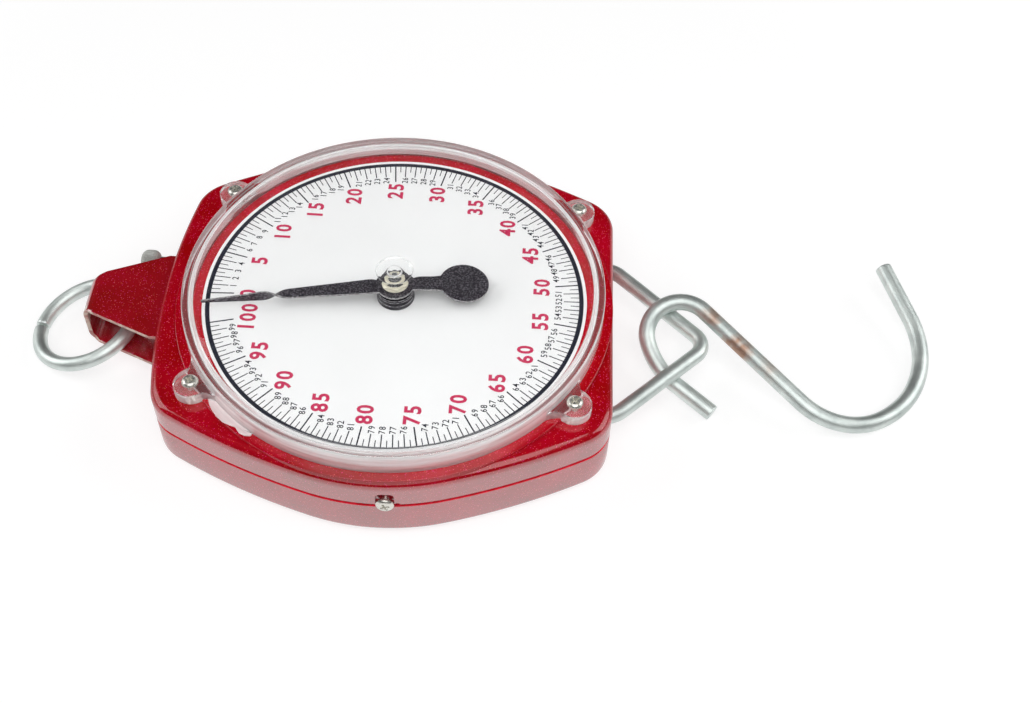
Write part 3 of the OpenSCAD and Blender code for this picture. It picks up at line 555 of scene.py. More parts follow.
# The strap's two edges in plan, as pairs of x and y.
STRAP_LEFT = ((-137, -9.6), (-134.6, -9.8), (-133, -11.2), (-107.5, -22.2), (-104.5, -23.5),
              (-60, -23.5))
STRAP_RIGHT = ((-137, 5.4), (-135.6, 8), (-133.2, 10.1), (-130.5, 12.3), (-107.5, 22.2),
               (-104.5, 23.5), (-60, 23.5))


def strap_form():
    """The U as a path in the XZ plane, its width at each x read from the plan, and a rounded
    rectangle carried along it: the middle surface plus or minus half the thickness along the
    path's normal."""
    mid = STRAP_T / 2
    r = FOLD_R - mid
    low, top = STRAP_LOW + mid, STRAP_TOP - mid
    flat = np.concatenate([np.linspace(STRAP_END, -104, 10), np.linspace(-104.5, -131.5, 28)])
    turn = np.linspace(0, np.pi / 2, 12)
    cx, lo, hi = FOLD_X + FOLD_R, low + r, top - r
    x = np.concatenate([flat, cx - r * np.sin(turn), np.full(8, cx - r),
                        cx - r * np.cos(turn), flat[::-1]])
    z = np.concatenate([np.full(len(flat), low), lo - r * np.cos(turn),
                        np.linspace(lo, hi, 10)[1:-1], hi + r * np.sin(turn),
                        np.full(len(flat), top)])
    tangent = np.gradient(np.stack([x, z], 1), axis=0)
    tangent /= np.linalg.norm(tangent, axis=1, keepdims=True)
    normal = np.stack([tangent[:, 1], -tangent[:, 0]], 1)
    left = np.interp(x, *zip(*STRAP_LEFT))[:, None]
    right = np.interp(x, *zip(*STRAP_RIGHT))[:, None]
    e = STRAP_BEVEL
    c = e * (1 - math.sqrt(0.5))
    share = np.concatenate([[0, 0], np.linspace(0.1, 0.9, 9), [1, 1]])
    pull = np.concatenate([[e, 4 * e], np.zeros(9), [-4 * e, -e]])
    y_face = left + share * (right - left) + pull
    y_ring = np.concatenate([y_face, right - c, right, right, right - c,
                             y_face[:, ::-1], left + c, left, left, left + c], 1)
    n = len(share)
    off = np.concatenate([np.full(n, mid), [mid - c, mid - e, -mid + e, -mid + c],
                          np.full(n, -mid), [-mid + c, -mid + e, mid - e, mid - c]])
    px = x[:, None] + off * normal[:, :1]
    pz = z[:, None] + off * normal[:, 1:]
    points = np.stack([px, y_ring, pz], -1)
    return points.reshape(-1, 3), capped_faces(*px.shape, flip=True)


CHIP = (-0.1368, -0.0095, 0.0245, 0.0075)
strap_paint = flake_paint("chipped_paint", chip=CHIP)
strap = add_piece("hanging_strap_form", *strap_form(), strap_paint, "case", ["hanging_strap"],
                  slot="red_paint")
cut_edge = plain_finish("worn_cut_edge", (0.55, 0.22, 0.20), (0.80, 0.66, 0.56), 260, 0.45, 0.0)
STRAP_COLUMNS, CUT_EDGES = 34, (13, 14, 15, 30, 31, 32)
column = np.arange(len(strap.data.polygons)) % STRAP_COLUMNS
second_finish(strap, cut_edge, np.isin(column, CUT_EDGES))


# Suspension ring
# Steel wire of 6.5 mm bent to a ring with a butt gap, zinc plated and rubbed
# by the hooks it has hung from.
def rod_faces(rows, sides):
    """Faces of a rod with pointed ends: a wrapped grid, and a fan at each end to the two pole
    points that follow the rings."""
    poles = rows * sides
    return (grid_faces(rows, sides, True)[:, ::-1].tolist() + pole_fan(poles, 0, sides)
            + pole_fan(poles + 1, poles - sides, sides, flip=True))


WIRE_SIDES = 40


def wire_form(path, radius, ease):
    """Round wire along a path: each point p carries the circle p + r (cos b . side + sin b .
    up), where up is +Z without its part along the wire. Both butt ends are eased over a short
    length and closed at a point. Also gives each vertex its place along and round the wire, in
    metres."""
    path = np.asarray(path, float)
    run = np.concatenate([[0], np.cumsum(np.linalg.norm(np.diff(path, axis=0), axis=1))])
    length = run[-1]
    short = ease * np.array([0, 0.1, 0.35, 0.65, 1.0])
    at = np.concatenate([short, np.arange(ease + 0.6, length - ease - 0.6, 0.9),
                         length - short[::-1]])
    p = np.stack([np.interp(at, run, path[:, k]) for k in range(3)], 1)
    slope = np.gradient(path, run, axis=0)
    along = np.stack([np.interp(at, run, slope[:, k]) for k in range(3)], 1)
    along /= np.linalg.norm(along, axis=1, keepdims=True)
    up = np.array([0, 0, 1.0]) - along * along[:, 2:3]
    up /= np.linalg.norm(up, axis=1, keepdims=True)
    side = np.cross(up, along)
    from_end = np.minimum(at, length - at).clip(0, ease) / ease
    r = radius - ease + ease * np.sqrt(1 - (1 - from_end) ** 2)
    b = np.linspace(0, 2 * np.pi, WIRE_SIDES, endpoint=False)
    rings = (p[:, None] + (r[:, None] * np.cos(b))[..., None] * side[:, None]
             + (r[:, None] * np.sin(b))[..., None] * up[:, None])
    points = np.concatenate([rings.reshape(-1, 3), p[:1], p[-1:]])
    place = np.stack([np.repeat(at, WIRE_SIDES), np.tile(b * radius, len(at))], 1)
    place = np.concatenate([place, [[0, 0], [length, 0]]]) * MM
    return points, rod_faces(len(at), WIRE_SIDES), place


def lay_map(piece, place, lap):
    """Writes each corner's (along, round) place as the piece's UV map. In a face that spans the
    seam, the low corners go up by one whole turn."""
    mesh = piece.data
    corner = np.empty(len(mesh.loops), np.int32)
    mesh.loops.foreach_get("vertex_index", corner)
    start = np.empty(len(mesh.polygons), np.int32)
    mesh.polygons.foreach_get("loop_start", start)
    total = np.empty(len(mesh.polygons), np.int32)
    mesh.polygons.foreach_get("loop_total", total)
    uv = place[corner]
    high = np.repeat(np.maximum.reduceat(uv[:, 1], start), total)
    uv[:, 1] += lap * (high - uv[:, 1] > lap / 2)
    mesh.uv_layers.new(name="run").data.foreach_set("uv", uv.astype(np.float32).ravel())


def add_wire(name, path, radius, finish, body, solid, ease=0.5):
    """A wire in place of a solid, with each point's place along and round it as a UV map."""
    points, faces, place = wire_form(path, radius, ease)
    wire = add_piece(name, points, faces, finish, body, [solid], slot="zinc_wire")
    lay_map(wire, place, 2 * math.pi * radius * MM)


def wire_finish(name, light, dark, rubbed=None, patch=(0, 0, 0, 1)):
    """Zinc on drawn wire. Noise drawn out along the wire gives the draw lines, a thresholded
    long noise the scratches, cloud noise the dull and bright patches. rubbed is a colour worn
    through round the point patch, fading over its last number."""
    finish, tree, shader = new_finish(name)
    run = add_node(tree, "UVMap", uv_map="run")
    place = object_place(tree)
    lines = noise(tree, add_node(tree, "Mapping", {"Vector": run, "Scale": (60, 2600, 1)}), 1, 6)
    aslant = add_node(tree, "Mapping", {"Vector": run, "Scale": (900, 90, 1),
                                        "Rotation": (0, 0, 0.5)})
    nicks = remap(tree, noise(tree, aslant, 1, 3), 0.66, 0.78)
    cloud = noise(tree, place, 110, 5)
    tone = two_tones(tree, cloud, dark, light, 0.32, 0.66)
    colour = layer(tree, nicks, tone, (0.72, 0.73, 0.72, 1))
    if rubbed:
        off = add_node(tree, "VectorMath", {0: place, 1: patch[:3]}, operation="DISTANCE")
        near = remap(tree, off.outputs["Value"], patch[3], patch[3] * 0.3,
                     interpolation_type="SMOOTHSTEP")
        spots = maths(tree, "MULTIPLY", near, remap(tree, cloud, 0.4, 0.6))
        colour = layer(tree, spots, colour, (*rubbed, 1))
    feed(tree, shader, {
        "Base Color": colour, "Metallic": 0.78, "Normal": bumps(tree, lines, 0.25, 0.0002),
        "Roughness": remap(tree, lines, to_low=0.30, to_high=0.56)})
    return finish


RING_R, RING_WIRE, RING_X, RING_Y, RING_EASE = 23.0, 3.25, -140.1, -1.9, 1.1
RING_LEAN = math.radians(15.5)
ring_flat = arc((0, 0), RING_R, math.radians(178), math.radians(536), 720)
ring_path = np.stack([ring_flat[:, 0] * math.cos(RING_LEAN) + RING_X, ring_flat[:, 1] + RING_Y,
                      (ring_flat[:, 0] + RING_R) * math.sin(RING_LEAN) + RING_WIRE], 1)
plated_wire = wire_finish("zinc_on_wire", (0.78, 0.84, 0.81), (0.58, 0.64, 0.62))
add_wire("suspension_ring_wire", ring_path, RING_WIRE, plated_wire, "ring", "suspension_ring",
         ease=RING_EASE)


# Zero knob
# A small knurled knob on the zero screw, half hidden by the strap. Turning it
# pulls the springs' anchor to set the pointer on zero.
KNOB_R, KNOB_X, KNOB_L, KNOB_Y, KNOB_Z = 5.2, -120.4, 9.0, 29.0, 19.2
KNOB_END, KNOB_RIBS, RIB_DEEP = 3.6, 36, 0.32


def knob_form():
    """A short bar along X with pointed ribs and both ends round: radius r - d |tri(n a)|, where
    r = R sin(t)^0.7 on each round end and R between them, and the ribs fade out at the ends."""
    t = np.radians(np.linspace(0, 90, 9))
    rounded = KNOB_END * (1 - np.cos(t))
    x = KNOB_X + np.concatenate([rounded, KNOB_L - rounded[::-1]])
    r = KNOB_R * np.concatenate([np.sin(t), np.sin(t[::-1])]) ** 0.7
    rib = np.concatenate([np.linspace(0, 1, 9), np.linspace(1, 0, 9)])
    sides = KNOB_RIBS * 8
    a = np.linspace(0, 2 * np.pi, sides, endpoint=False)
    tooth = np.abs(((a * KNOB_RIBS / (2 * np.pi)) % 1) * 2 - 1)
    radius = (r[:, None] - RIB_DEEP * rib[:, None] * tooth)[1:-1]
    xs = np.repeat(x[1:-1, None], sides, 1)
    points = np.stack([xs, KNOB_Y + radius * np.cos(a), KNOB_Z + radius * np.sin(a)], -1)
    poles = [[x[0], KNOB_Y, KNOB_Z], [x[-1], KNOB_Y, KNOB_Z]]
    return np.concatenate([points.reshape(-1, 3), poles]), rod_faces(len(x) - 2, sides)


knob_metal = sheet_finish("dull_knurl", (0.60, 0.61, 0.57), 0.6, (1, 1, 1), metal=0.35)
add_piece("zero_knob_form", *knob_form(), knob_metal, "knob", ["zero_knob"], angle=24,
          slot="grey_knurl")


# Load bail
# Wire of 7 mm bent to a bail with a pointed nose. Its two legs run through
# the case wall to the crosshead, and the hook hangs on it.
def run_wire(steps, start, heading, pitch):
    """Wire bent step by step. A straight adds length times the heading; a bend of radius r
    through an angle a goes round the centre p + r . left: p = centre + r (sin t . heading - cos
    t . left) for t from 0 to a, and turns heading and left by a. A roll turns left and up about
    the heading first."""
    h, e = math.radians(heading), math.radians(pitch)
    ahead = np.array([math.cos(h) * math.cos(e), math.sin(h) * math.cos(e), math.sin(e)])
    left = np.array([-math.sin(h), math.cos(h), 0.0])
    p = np.array(start, float)
    pieces = [p[None]]
    for size, angle, roll in steps:
        w = math.radians(roll)
        left = left * math.cos(w) + np.cross(ahead, left) * math.sin(w)
        if angle == 0:
            t = np.linspace(0, size, 60)[1:, None]
            piece = p + t * ahead
        else:
            a = math.radians(abs(angle))
            toward = left * math.copysign(1, angle)
            t = np.linspace(0, a, 90)[1:, None]
            piece = p + size * toward + size * (np.sin(t) * ahead - np.cos(t) * toward)
            ahead, inward = (ahead * math.cos(a) + toward * math.sin(a),
                             toward * math.cos(a) - ahead * math.sin(a))
            left = inward * math.copysign(1, angle)
        pieces.append(piece)
        p = piece[-1]
    return np.concatenate(pieces)


BAIL_START, BAIL_WIRE = (21.0, 42.0, 15.1), 3.5
# Steps of bent wire: length or bend radius in millimetres, bend and roll in degrees.
bail_side = [(71.0, 0, 0), (12.0, -44.5, 0), (46.87, 0, 0)]
bail_steps = bail_side + [(8.0, -91.0, 0)] + bail_side[::-1]
bail_path = run_wire(bail_steps, BAIL_START, heading=0, pitch=0)
add_wire("load_bail_wire", bail_path, BAIL_WIRE, plated_wire, "load", "load_bail")


# S-hook
# Wire of 7.5 mm bent to an S: a tight eye that rides on the bail and a wide
# open hook for the load, scuffed brown where the eye's shank has rubbed.
HOOK_WIRE, HOOK_START = 3.75, (141.65, -28.89, 3.77)
hook_steps = [(20.3, 0, 0), (36.66, -37.37, -24.04), (15, -74.3, 0), (15, -74.27, 0),
              (59.1, 0, 0), (30.64, 71.07, -22.49), (44.75, 83.94, 0), (28.25, 0, 0)]
hook_path = run_wire(hook_steps, HOOK_START, heading=143.39, pitch=9.81)
hook_wire = wire_finish("scuffed_wire", (0.76, 0.82, 0.79), (0.56, 0.62, 0.60),
                        rubbed=(0.42, 0.27, 0.20), patch=(0.150, 0.000, 0.018, 0.032))
add_wire("s_hook_wire", hook_path, HOOK_WIRE, hook_wire, "hook", "s_hook")


# Dial plate
# A white enamelled sheet under the lens. The scale is printed on it in black,
# the five-kilogram figures in crimson, all read with the hook to the right.
def enamel_finish():
    """White with the faint cloudiness of stoved enamel and a fine orange-peel bump."""
    finish, tree, shader = new_finish("white_enamel")
    place = object_place(tree)
    cloud = noise(tree, place, 25)
    feed(tree, shader, {
        "Base Color": two_tones(tree, cloud, (0.80, 0.80, 0.80), (0.86, 0.86, 0.86)),
        "Roughness": 0.35, "Normal": bumps(tree, noise(tree, place, 900), 0.05, 0.0001)})
    return finish


def ink_finish(name, tint, thin):
    """Screen-printed ink: a fine noise lets a little of the sheet's white through."""
    finish, tree, shader = new_finish(name)
    grain = noise(tree, object_place(tree), 1500)
    faded = [c + thin * (1 - c) for c in tint]
    feed(tree, shader, {"Base Color": two_tones(tree, grain, tint, faded, 0.3, 0.8),
                        "Roughness": 0.4})
    return finish


DIAL_R, DIAL_HOLE, DIAL_LOW, DIAL_TOP, DIAL_BEVEL = 83.5, 5.0, 36.5, 37.0, 0.1
add_piece("dial_sheet", *turned_form([
    (DIAL_HOLE, DIAL_LOW), (DIAL_R - DIAL_BEVEL, DIAL_LOW), (DIAL_R, DIAL_LOW + DIAL_BEVEL),
    (DIAL_R, DIAL_TOP - DIAL_BEVEL), (DIAL_R - DIAL_BEVEL, DIAL_TOP), (60, DIAL_TOP),
    (30, DIAL_TOP), (DIAL_HOLE, DIAL_TOP)]),
    enamel_finish(), "case", ["dial_plate"], slot="dial_white")

# The print: degrees of the zero and of one kilogram, the ring's two radii, and the strokes'
# start, ends and half widths for tens, kilograms and half kilograms.
ZERO_AT, PER_KG, STROKES = 182.6, 3.48, 201
PRINT_Z, RING_BAND, RING_SIDES = DIAL_TOP + 0.03, (82.0, 80.0), 240
STROKE_START, STROKE_ENDS, STROKE_HALF = 80.1, (70.0, 73.2, 76.2), (0.32, 0.24, 0.20)


def scale_marks():
    """The printed ring as a flat band between two radii, and the radial strokes: stroke k
    starts at the ring and ends at a radius that depends on k being a tenth, an even or an odd
    half kilogram. Its corners are r (cos a, sin a) plus half its width across."""
    a = np.linspace(0, 2 * np.pi, RING_SIDES, endpoint=False)
    ring = np.stack([np.outer(RING_BAND, np.cos(a)), np.outer(RING_BAND, np.sin(a)),
                     np.full((2, RING_SIDES), PRINT_Z)], -1).reshape(-1, 3)
    k = np.arange(STROKES)
    grade = np.where(k % 10 == 0, 0, np.where(k % 2 == 0, 1, 2))
    angle = np.radians(ZERO_AT - PER_KG * k / 2)
    inner = np.array(STROKE_ENDS)[grade][:, None]
    out = np.stack([np.cos(angle), np.sin(angle)], 1)
    across = np.stack([-out[:, 1], out[:, 0]], 1) * np.array(STROKE_HALF)[grade][:, None]
    corners = np.stack([STROKE_START * out - across, STROKE_START * out + across,
                        inner * out + across, inner * out - across], 1)
    marks = np.insert(corners, 2, PRINT_Z, 2).reshape(-1, 3)
    return join_forms((ring, grid_faces(2, RING_SIDES, True).tolist()),
                      (marks, np.arange(STROKES * 4).reshape(-1, 4).tolist()))


black_ink = ink_finish("black_ink", (0.004, 0.005, 0.016), 0.01)
crimson_ink = ink_finish("crimson_ink", (0.52, 0.008, 0.075), 0.05)
add_piece("dial_scale_marks", *scale_marks(), black_ink, "case", slot="dial_white")


def digit_forms(weight):
    """The ten figures of Blender's own face as flat meshes of unit height: (points, faces,
    width) each, weight thickens the strokes."""
    forms = []
    for figure in "0123456789":
        curve = bpy.data.curves.new("figure", "FONT")
        curve.body = figure
        curve.offset = weight
        curve.resolution_u = 3
        held = bpy.data.objects.new("figure", curve)
        mesh = bpy.data.meshes.new_from_object(held)
        points = np.empty(len(mesh.vertices) * 3)
        mesh.vertices.foreach_get("co", points)
        points = points.reshape(-1, 3)[:, :2]
        faces = [list(p.vertices) for p in mesh.polygons]
        low = points.min(0)
        tall = points[:, 1].max() - low[1]
        forms.append(((points - low) / tall, faces, (points[:, 0].max() - low[0]) / tall))
        bpy.data.objects.remove(held)
        bpy.data.curves.remove(curve)
        bpy.data.meshes.remove(mesh)
    return forms


SMALL_WEIGHT, BOLD_WEIGHT = 0.014, 0.03


def printed_numbers(values, radius, height, squeeze, pitch, forms):
    """Sets each value's figures in a row of equal cells one pitch wide, each figure squeeze
    times its width and in the middle of its cell, with the row centred at the value's angle on
    a circle of the given radius. The row runs along +Y, and the figures' tops point to -X."""
    placed = []
    for value in values:
        angle = math.radians(ZERO_AT - PER_KG * value)
        figures = [forms[int(f)] for f in str(value)]
        for cell, (outline, faces, wide) in enumerate(figures):
            left = (cell - (len(figures) - 1) / 2) * pitch - wide * squeeze * height / 2
            x = radius * math.cos(angle) - (outline[:, 1] - 0.5) * height
            y = radius * math.sin(angle) + outline[:, 0] * squeeze * height + left
            placed.append((np.stack([x, y, np.full(len(x), PRINT_Z)], 1), faces))
    return join_forms(*placed)


add_piece("dial_small_numbers", *printed_numbers(
    [v for v in range(100) if v % 5], radius=71.0, height=2.8, squeeze=0.90, pitch=2.0,
    forms=digit_forms(SMALL_WEIGHT)), black_ink, "case", slot="dial_white")
add_piece("dial_large_numbers", *printed_numbers(
    range(0, 101, 5), radius=64.0, height=7.2, squeeze=0.92, pitch=5.2,
    forms=digit_forms(BOLD_WEIGHT)), crimson_ink, "case", slot="dial_white")


# Bush and collar
# The dark stepped bush is screwed to the dial, and the collar above it turns
# with the pointer.
def dark_finish(name, tint, worn, rough, grain=260):
    """Blackened steel: cloud noise between the dark coat and bare worn metal, with fine
    scratches in the roughness and bump."""
    finish, tree, shader = new_finish(name)
    place = object_place(tree)
    fine = noise(tree, place, 1800)
    feed(tree, shader, {
        "Base Color": two_tones(tree, noise(tree, place, grain, 8), tint, worn, 0.45, 0.78),
        "Roughness": remap(tree, fine, to_low=rough - 0.08, to_high=rough + 0.14),
        "Normal": bumps(tree, fine, 0.15, 0.0001), "Metallic": 0.6})
    return finish


blackened = dark_finish("blackened_steel", (0.018, 0.016, 0.022), (0.08, 0.075, 0.085), 0.34)
# The upper chamfers of the bush's two rings and of the collar are drawn lighter grey: a painted
# highlight where light catches those edges.
edge_highlight_steel = plain_finish("worn_dark_edge", (0.10, 0.095, 0.105), (0.34, 0.33, 0.35), 900, 0.4, 0.5)
BUSH_LIT_ROWS, COLLAR_LIT_ROW = (5, 11), 3
bush = add_piece("dial_bush_form", *turned_form(
    [(3.05, 31.8), (5, 31.8), (5, 37), (8.0, 37), (8.3, 37.2), (8.3, 39.0), (8.0, 39.3),
     (7.3, 39.35), (7.3, 39.7), (7.9, 39.75), (8.1, 39.9), (8.1, 41.1), (7.9, 41.35),
     (3.05, 41.4)]), blackened, "case", ["dial_bush"], slot="dark_metal")
row = np.arange(len(bush.data.polygons)) // LATHE_SIDES
second_finish(bush, edge_highlight_steel, np.isin(row, BUSH_LIT_ROWS))
collar = add_piece("hub_collar_form", *turned_form(
    [(3, 41.5), (7.8, 41.5), (8.1, 41.75), (8.1, 42.3), (7.9, 42.55), (7.0, 42.6), (7.0, 43.1),
     (7.5, 43.2), (7.5, 43.99), (3, 43.99)]), blackened, "needle", ["hub_collar"],
    slot="dark_metal")
row = np.arange(len(collar.data.polygons)) // LATHE_SIDES
second_finish(collar, edge_highlight_steel, row == COLLAR_LIT_ROW)


# Pointer
# Stamped from 1 mm sheet and blackened: a round counterweight, a hub disc and
# a blade that twists a quarter turn so that its tip is read edge on.
HUB_Z, HUB_R, REST_ANGLE, SHEET_HALF, SHEET_BEVEL = 44.0, 8.2, 188.6, 0.5, 0.14
WEIGHT_X, WEIGHT_R, NECK_HALF = -29.9, 10.65, 3.8
TWIST_X, TWIST_L, TIP_R, DIP, WEIGHT_DIP = 45.0, 12.0, 83.0, 2.2, 5.0
# The sides of the ribbon's section and those that are cut edges, and the blade's half width
# as pairs of x and half width.
RIBBON_SIDES, RIBBON_EDGES = 8, (0, 1, 5, 6)
BLADE = ((2, NECK_HALF), (6, 4.2), (TWIST_X, 2.5), (TWIST_X + TWIST_L, 2.5), (TIP_R, 0.7))


def spun(points, degrees):
    """Points turned about Z: (x cos a - y sin a, x sin a + y cos a, z)."""
    c, s = math.cos(math.radians(degrees)), math.sin(math.radians(degrees))
    return points @ np.array([[c, s, 0], [-s, c, 0], [0, 0, 1]])


def pointer_form():
    """A ribbon along X with a bevelled rectangle as its section. Half width w(x) is the widest
    of weight circle, neck, hub circle and blade. Past the hub the line dips by 2.2 degrees and
    the weight by 5, the section turns by 90 degrees times the smoothstep of the way through
    the twist, and the end narrows to the tip. The whole is turned to the rest angle."""
    t = np.cos(np.linspace(np.pi, 0, 25))
    twisted = TWIST_X + TWIST_L
    x = np.concatenate([WEIGHT_X + WEIGHT_R * t, np.linspace(-19.0, -HUB_R - 0.2, 8), HUB_R * t,
                        np.linspace(HUB_R + 0.3, TWIST_X, 14),
                        np.linspace(TWIST_X + 0.6, twisted, 24),
                        np.linspace(twisted + 0.6, TIP_R, 20)])
    weight = np.sqrt(np.clip(WEIGHT_R ** 2 - (x - WEIGHT_X) ** 2, 0, None))
    hub = np.sqrt(np.clip(HUB_R ** 2 - x ** 2, 0, None))
    neck = np.where((x > -36) & (x < 2), NECK_HALF + 0.8 * np.clip((-17 - x) / 5, 0, 1), 0)
    blade = np.where(x > BLADE[0][0], np.interp(x, *zip(*BLADE)), 0)
    w = np.maximum.reduce([weight, hub, neck, blade]).clip(0.05)
    q = np.clip((x - TWIST_X) / TWIST_L, 0, 1)
    turn = np.radians(90) * q * q * (3 - 2 * q)
    e, h = SHEET_BEVEL, SHEET_HALF
    b = np.minimum(e, w * 0.5)
    u = np.stack([w - b, w, w, w - b, -w + b, -w, -w, -w + b], 1)
    v = np.tile([h, h - e, -h + e, -h, -h, -h + e, h - e, h], (len(x), 1))
    lower = np.clip((x - twisted) / (TIP_R - twisted), 0, 1)[:, None]
    u = np.where(u > 0, u * (1 - 0.45 * lower), u)
    y = u * np.cos(turn)[:, None] - v * np.sin(turn)[:, None]
    z = u * np.sin(turn)[:, None] + v * np.cos(turn)[:, None]
    line = HUB_Z + h - np.clip(x - 6, 0, None) * math.tan(math.radians(DIP))
    line -= np.clip(-x - 10, 0, None) * math.tan(math.radians(WEIGHT_DIP))
    points = np.stack([np.repeat(x[:, None], RIBBON_SIDES, 1), y, z + line[:, None]], -1)
    faces = capped_faces(len(x), RIBBON_SIDES, flip=True)
    return spun(points, REST_ANGLE).reshape(-1, 3), faces


pointer_black = dark_finish("pointer_black", (0.030, 0.026, 0.034), (0.26, 0.24, 0.27), 0.42,
                            grain=1300)
pointer_edge = plain_finish("pointer_cut_edge", (0.16, 0.155, 0.16), (0.42, 0.41, 0.42), 1100,
                            0.45, 0.2)
pointer = add_piece("pointer_sheet", *pointer_form(), pointer_black, "needle", ["pointer"],
                    angle=40, slot="dark_metal")
column = np.arange(len(pointer.data.polygons)) % RIBBON_SIDES
second_finish(pointer, pointer_edge, np.isin(column, RIBBON_EDGES))


# Pointer nut
# A chamfered hexagon nut of yellow metal that clamps the pointer on the shaft.
NUT_ACROSS, NUT_BASE_R, NUT_LOW, NUT_TOP, NUT_HOLE = 9.3, 5.3, 45.0, 47.6, 3.0
NUT_TURN, NUT_FOOT, NUT_CHAMFER = math.radians(-78), 0.15, 0.7


def nut_form():
    """At angle a and height z the radius is the larger of the hexagon's, half its width over
    cos of the angle to the nearest flat, and the base's, a disc with a cone on it; the top is
    cut back by a cone too."""
    sides = 144
    a = np.linspace(0, 2 * np.pi, sides, endpoint=False)
    from_flat = (a - NUT_TURN) % (np.pi / 3) - np.pi / 6
    flat = NUT_ACROSS / 2 / np.cos(from_flat)
    disc, cone = NUT_LOW + NUT_CHAMFER, NUT_LOW + 1.5
    z = np.concatenate([[NUT_LOW, NUT_LOW + NUT_FOOT], np.linspace(disc, cone, 9),
                        np.linspace(NUT_TOP - NUT_CHAMFER, NUT_TOP, 8)])
    neck = NUT_ACROSS / 2 - 0.1
    base = np.interp(z, [NUT_LOW, NUT_LOW + NUT_FOOT, disc, cone],
                     [NUT_BASE_R - NUT_FOOT, NUT_BASE_R, NUT_BASE_R, neck])
    crown = neck + (NUT_TOP - z) * 1.3
    hexagon = np.where(z[:, None] > disc - 0.1, flat, 0)
    r = np.minimum(np.maximum(base[:, None], hexagon), crown[:, None])
    r = np.concatenate([np.full((1, sides), NUT_HOLE), r, np.full((1, sides), NUT_HOLE)])
    z = np.concatenate([[NUT_LOW], z, [NUT_TOP]])
    points = np.stack([r * np.cos(a), r * np.sin(a), np.repeat(z[:, None], sides, 1)], -1)
    return points.reshape(-1, 3), grid_faces(len(z), sides, True, close=True).tolist()


champagne = sheet_finish("yellow_plate", (0.92, 0.87, 0.70), 0.45, (1, 1, 0.4), metal=0.6)
add_piece("pointer_nut_form", *nut_form(), champagne, "needle", ["pointer_nut"],
          slot="yellow_metal", angle=24)


# Lens cover
# One clear moulding: a wall that stands on the land, a shallow dome with a
# dimple over the nut, and four ears that are screwed to the case. Its foot
# and ears are frosted by the mould and a little flash is left on the edge.
LENS_R, LENS_WALL, RIM_Z, DOME_R, DOME_TOP, DOME_T = 91.0, 3.0, 47.0, 86.0, 54.94, 1.8
DIMPLE_Z = 53.8
EAR_X, EAR_Y, EAR_R, EAR_Z, EAR_LOW = 78.9, 54.8, 7.2, 41.0, 35.25
FOOT_Z, FOOT_R, RIM_R = 36.5, 95.15, 0.9
# The web beside each ear: how far it stands out, the angle from the ear's middle at which it
# starts, and the angle over which it grows.
WEB_OUT, WEB_START, WEB_GROWS = 3.2, math.radians(8.2), math.radians(3.7)


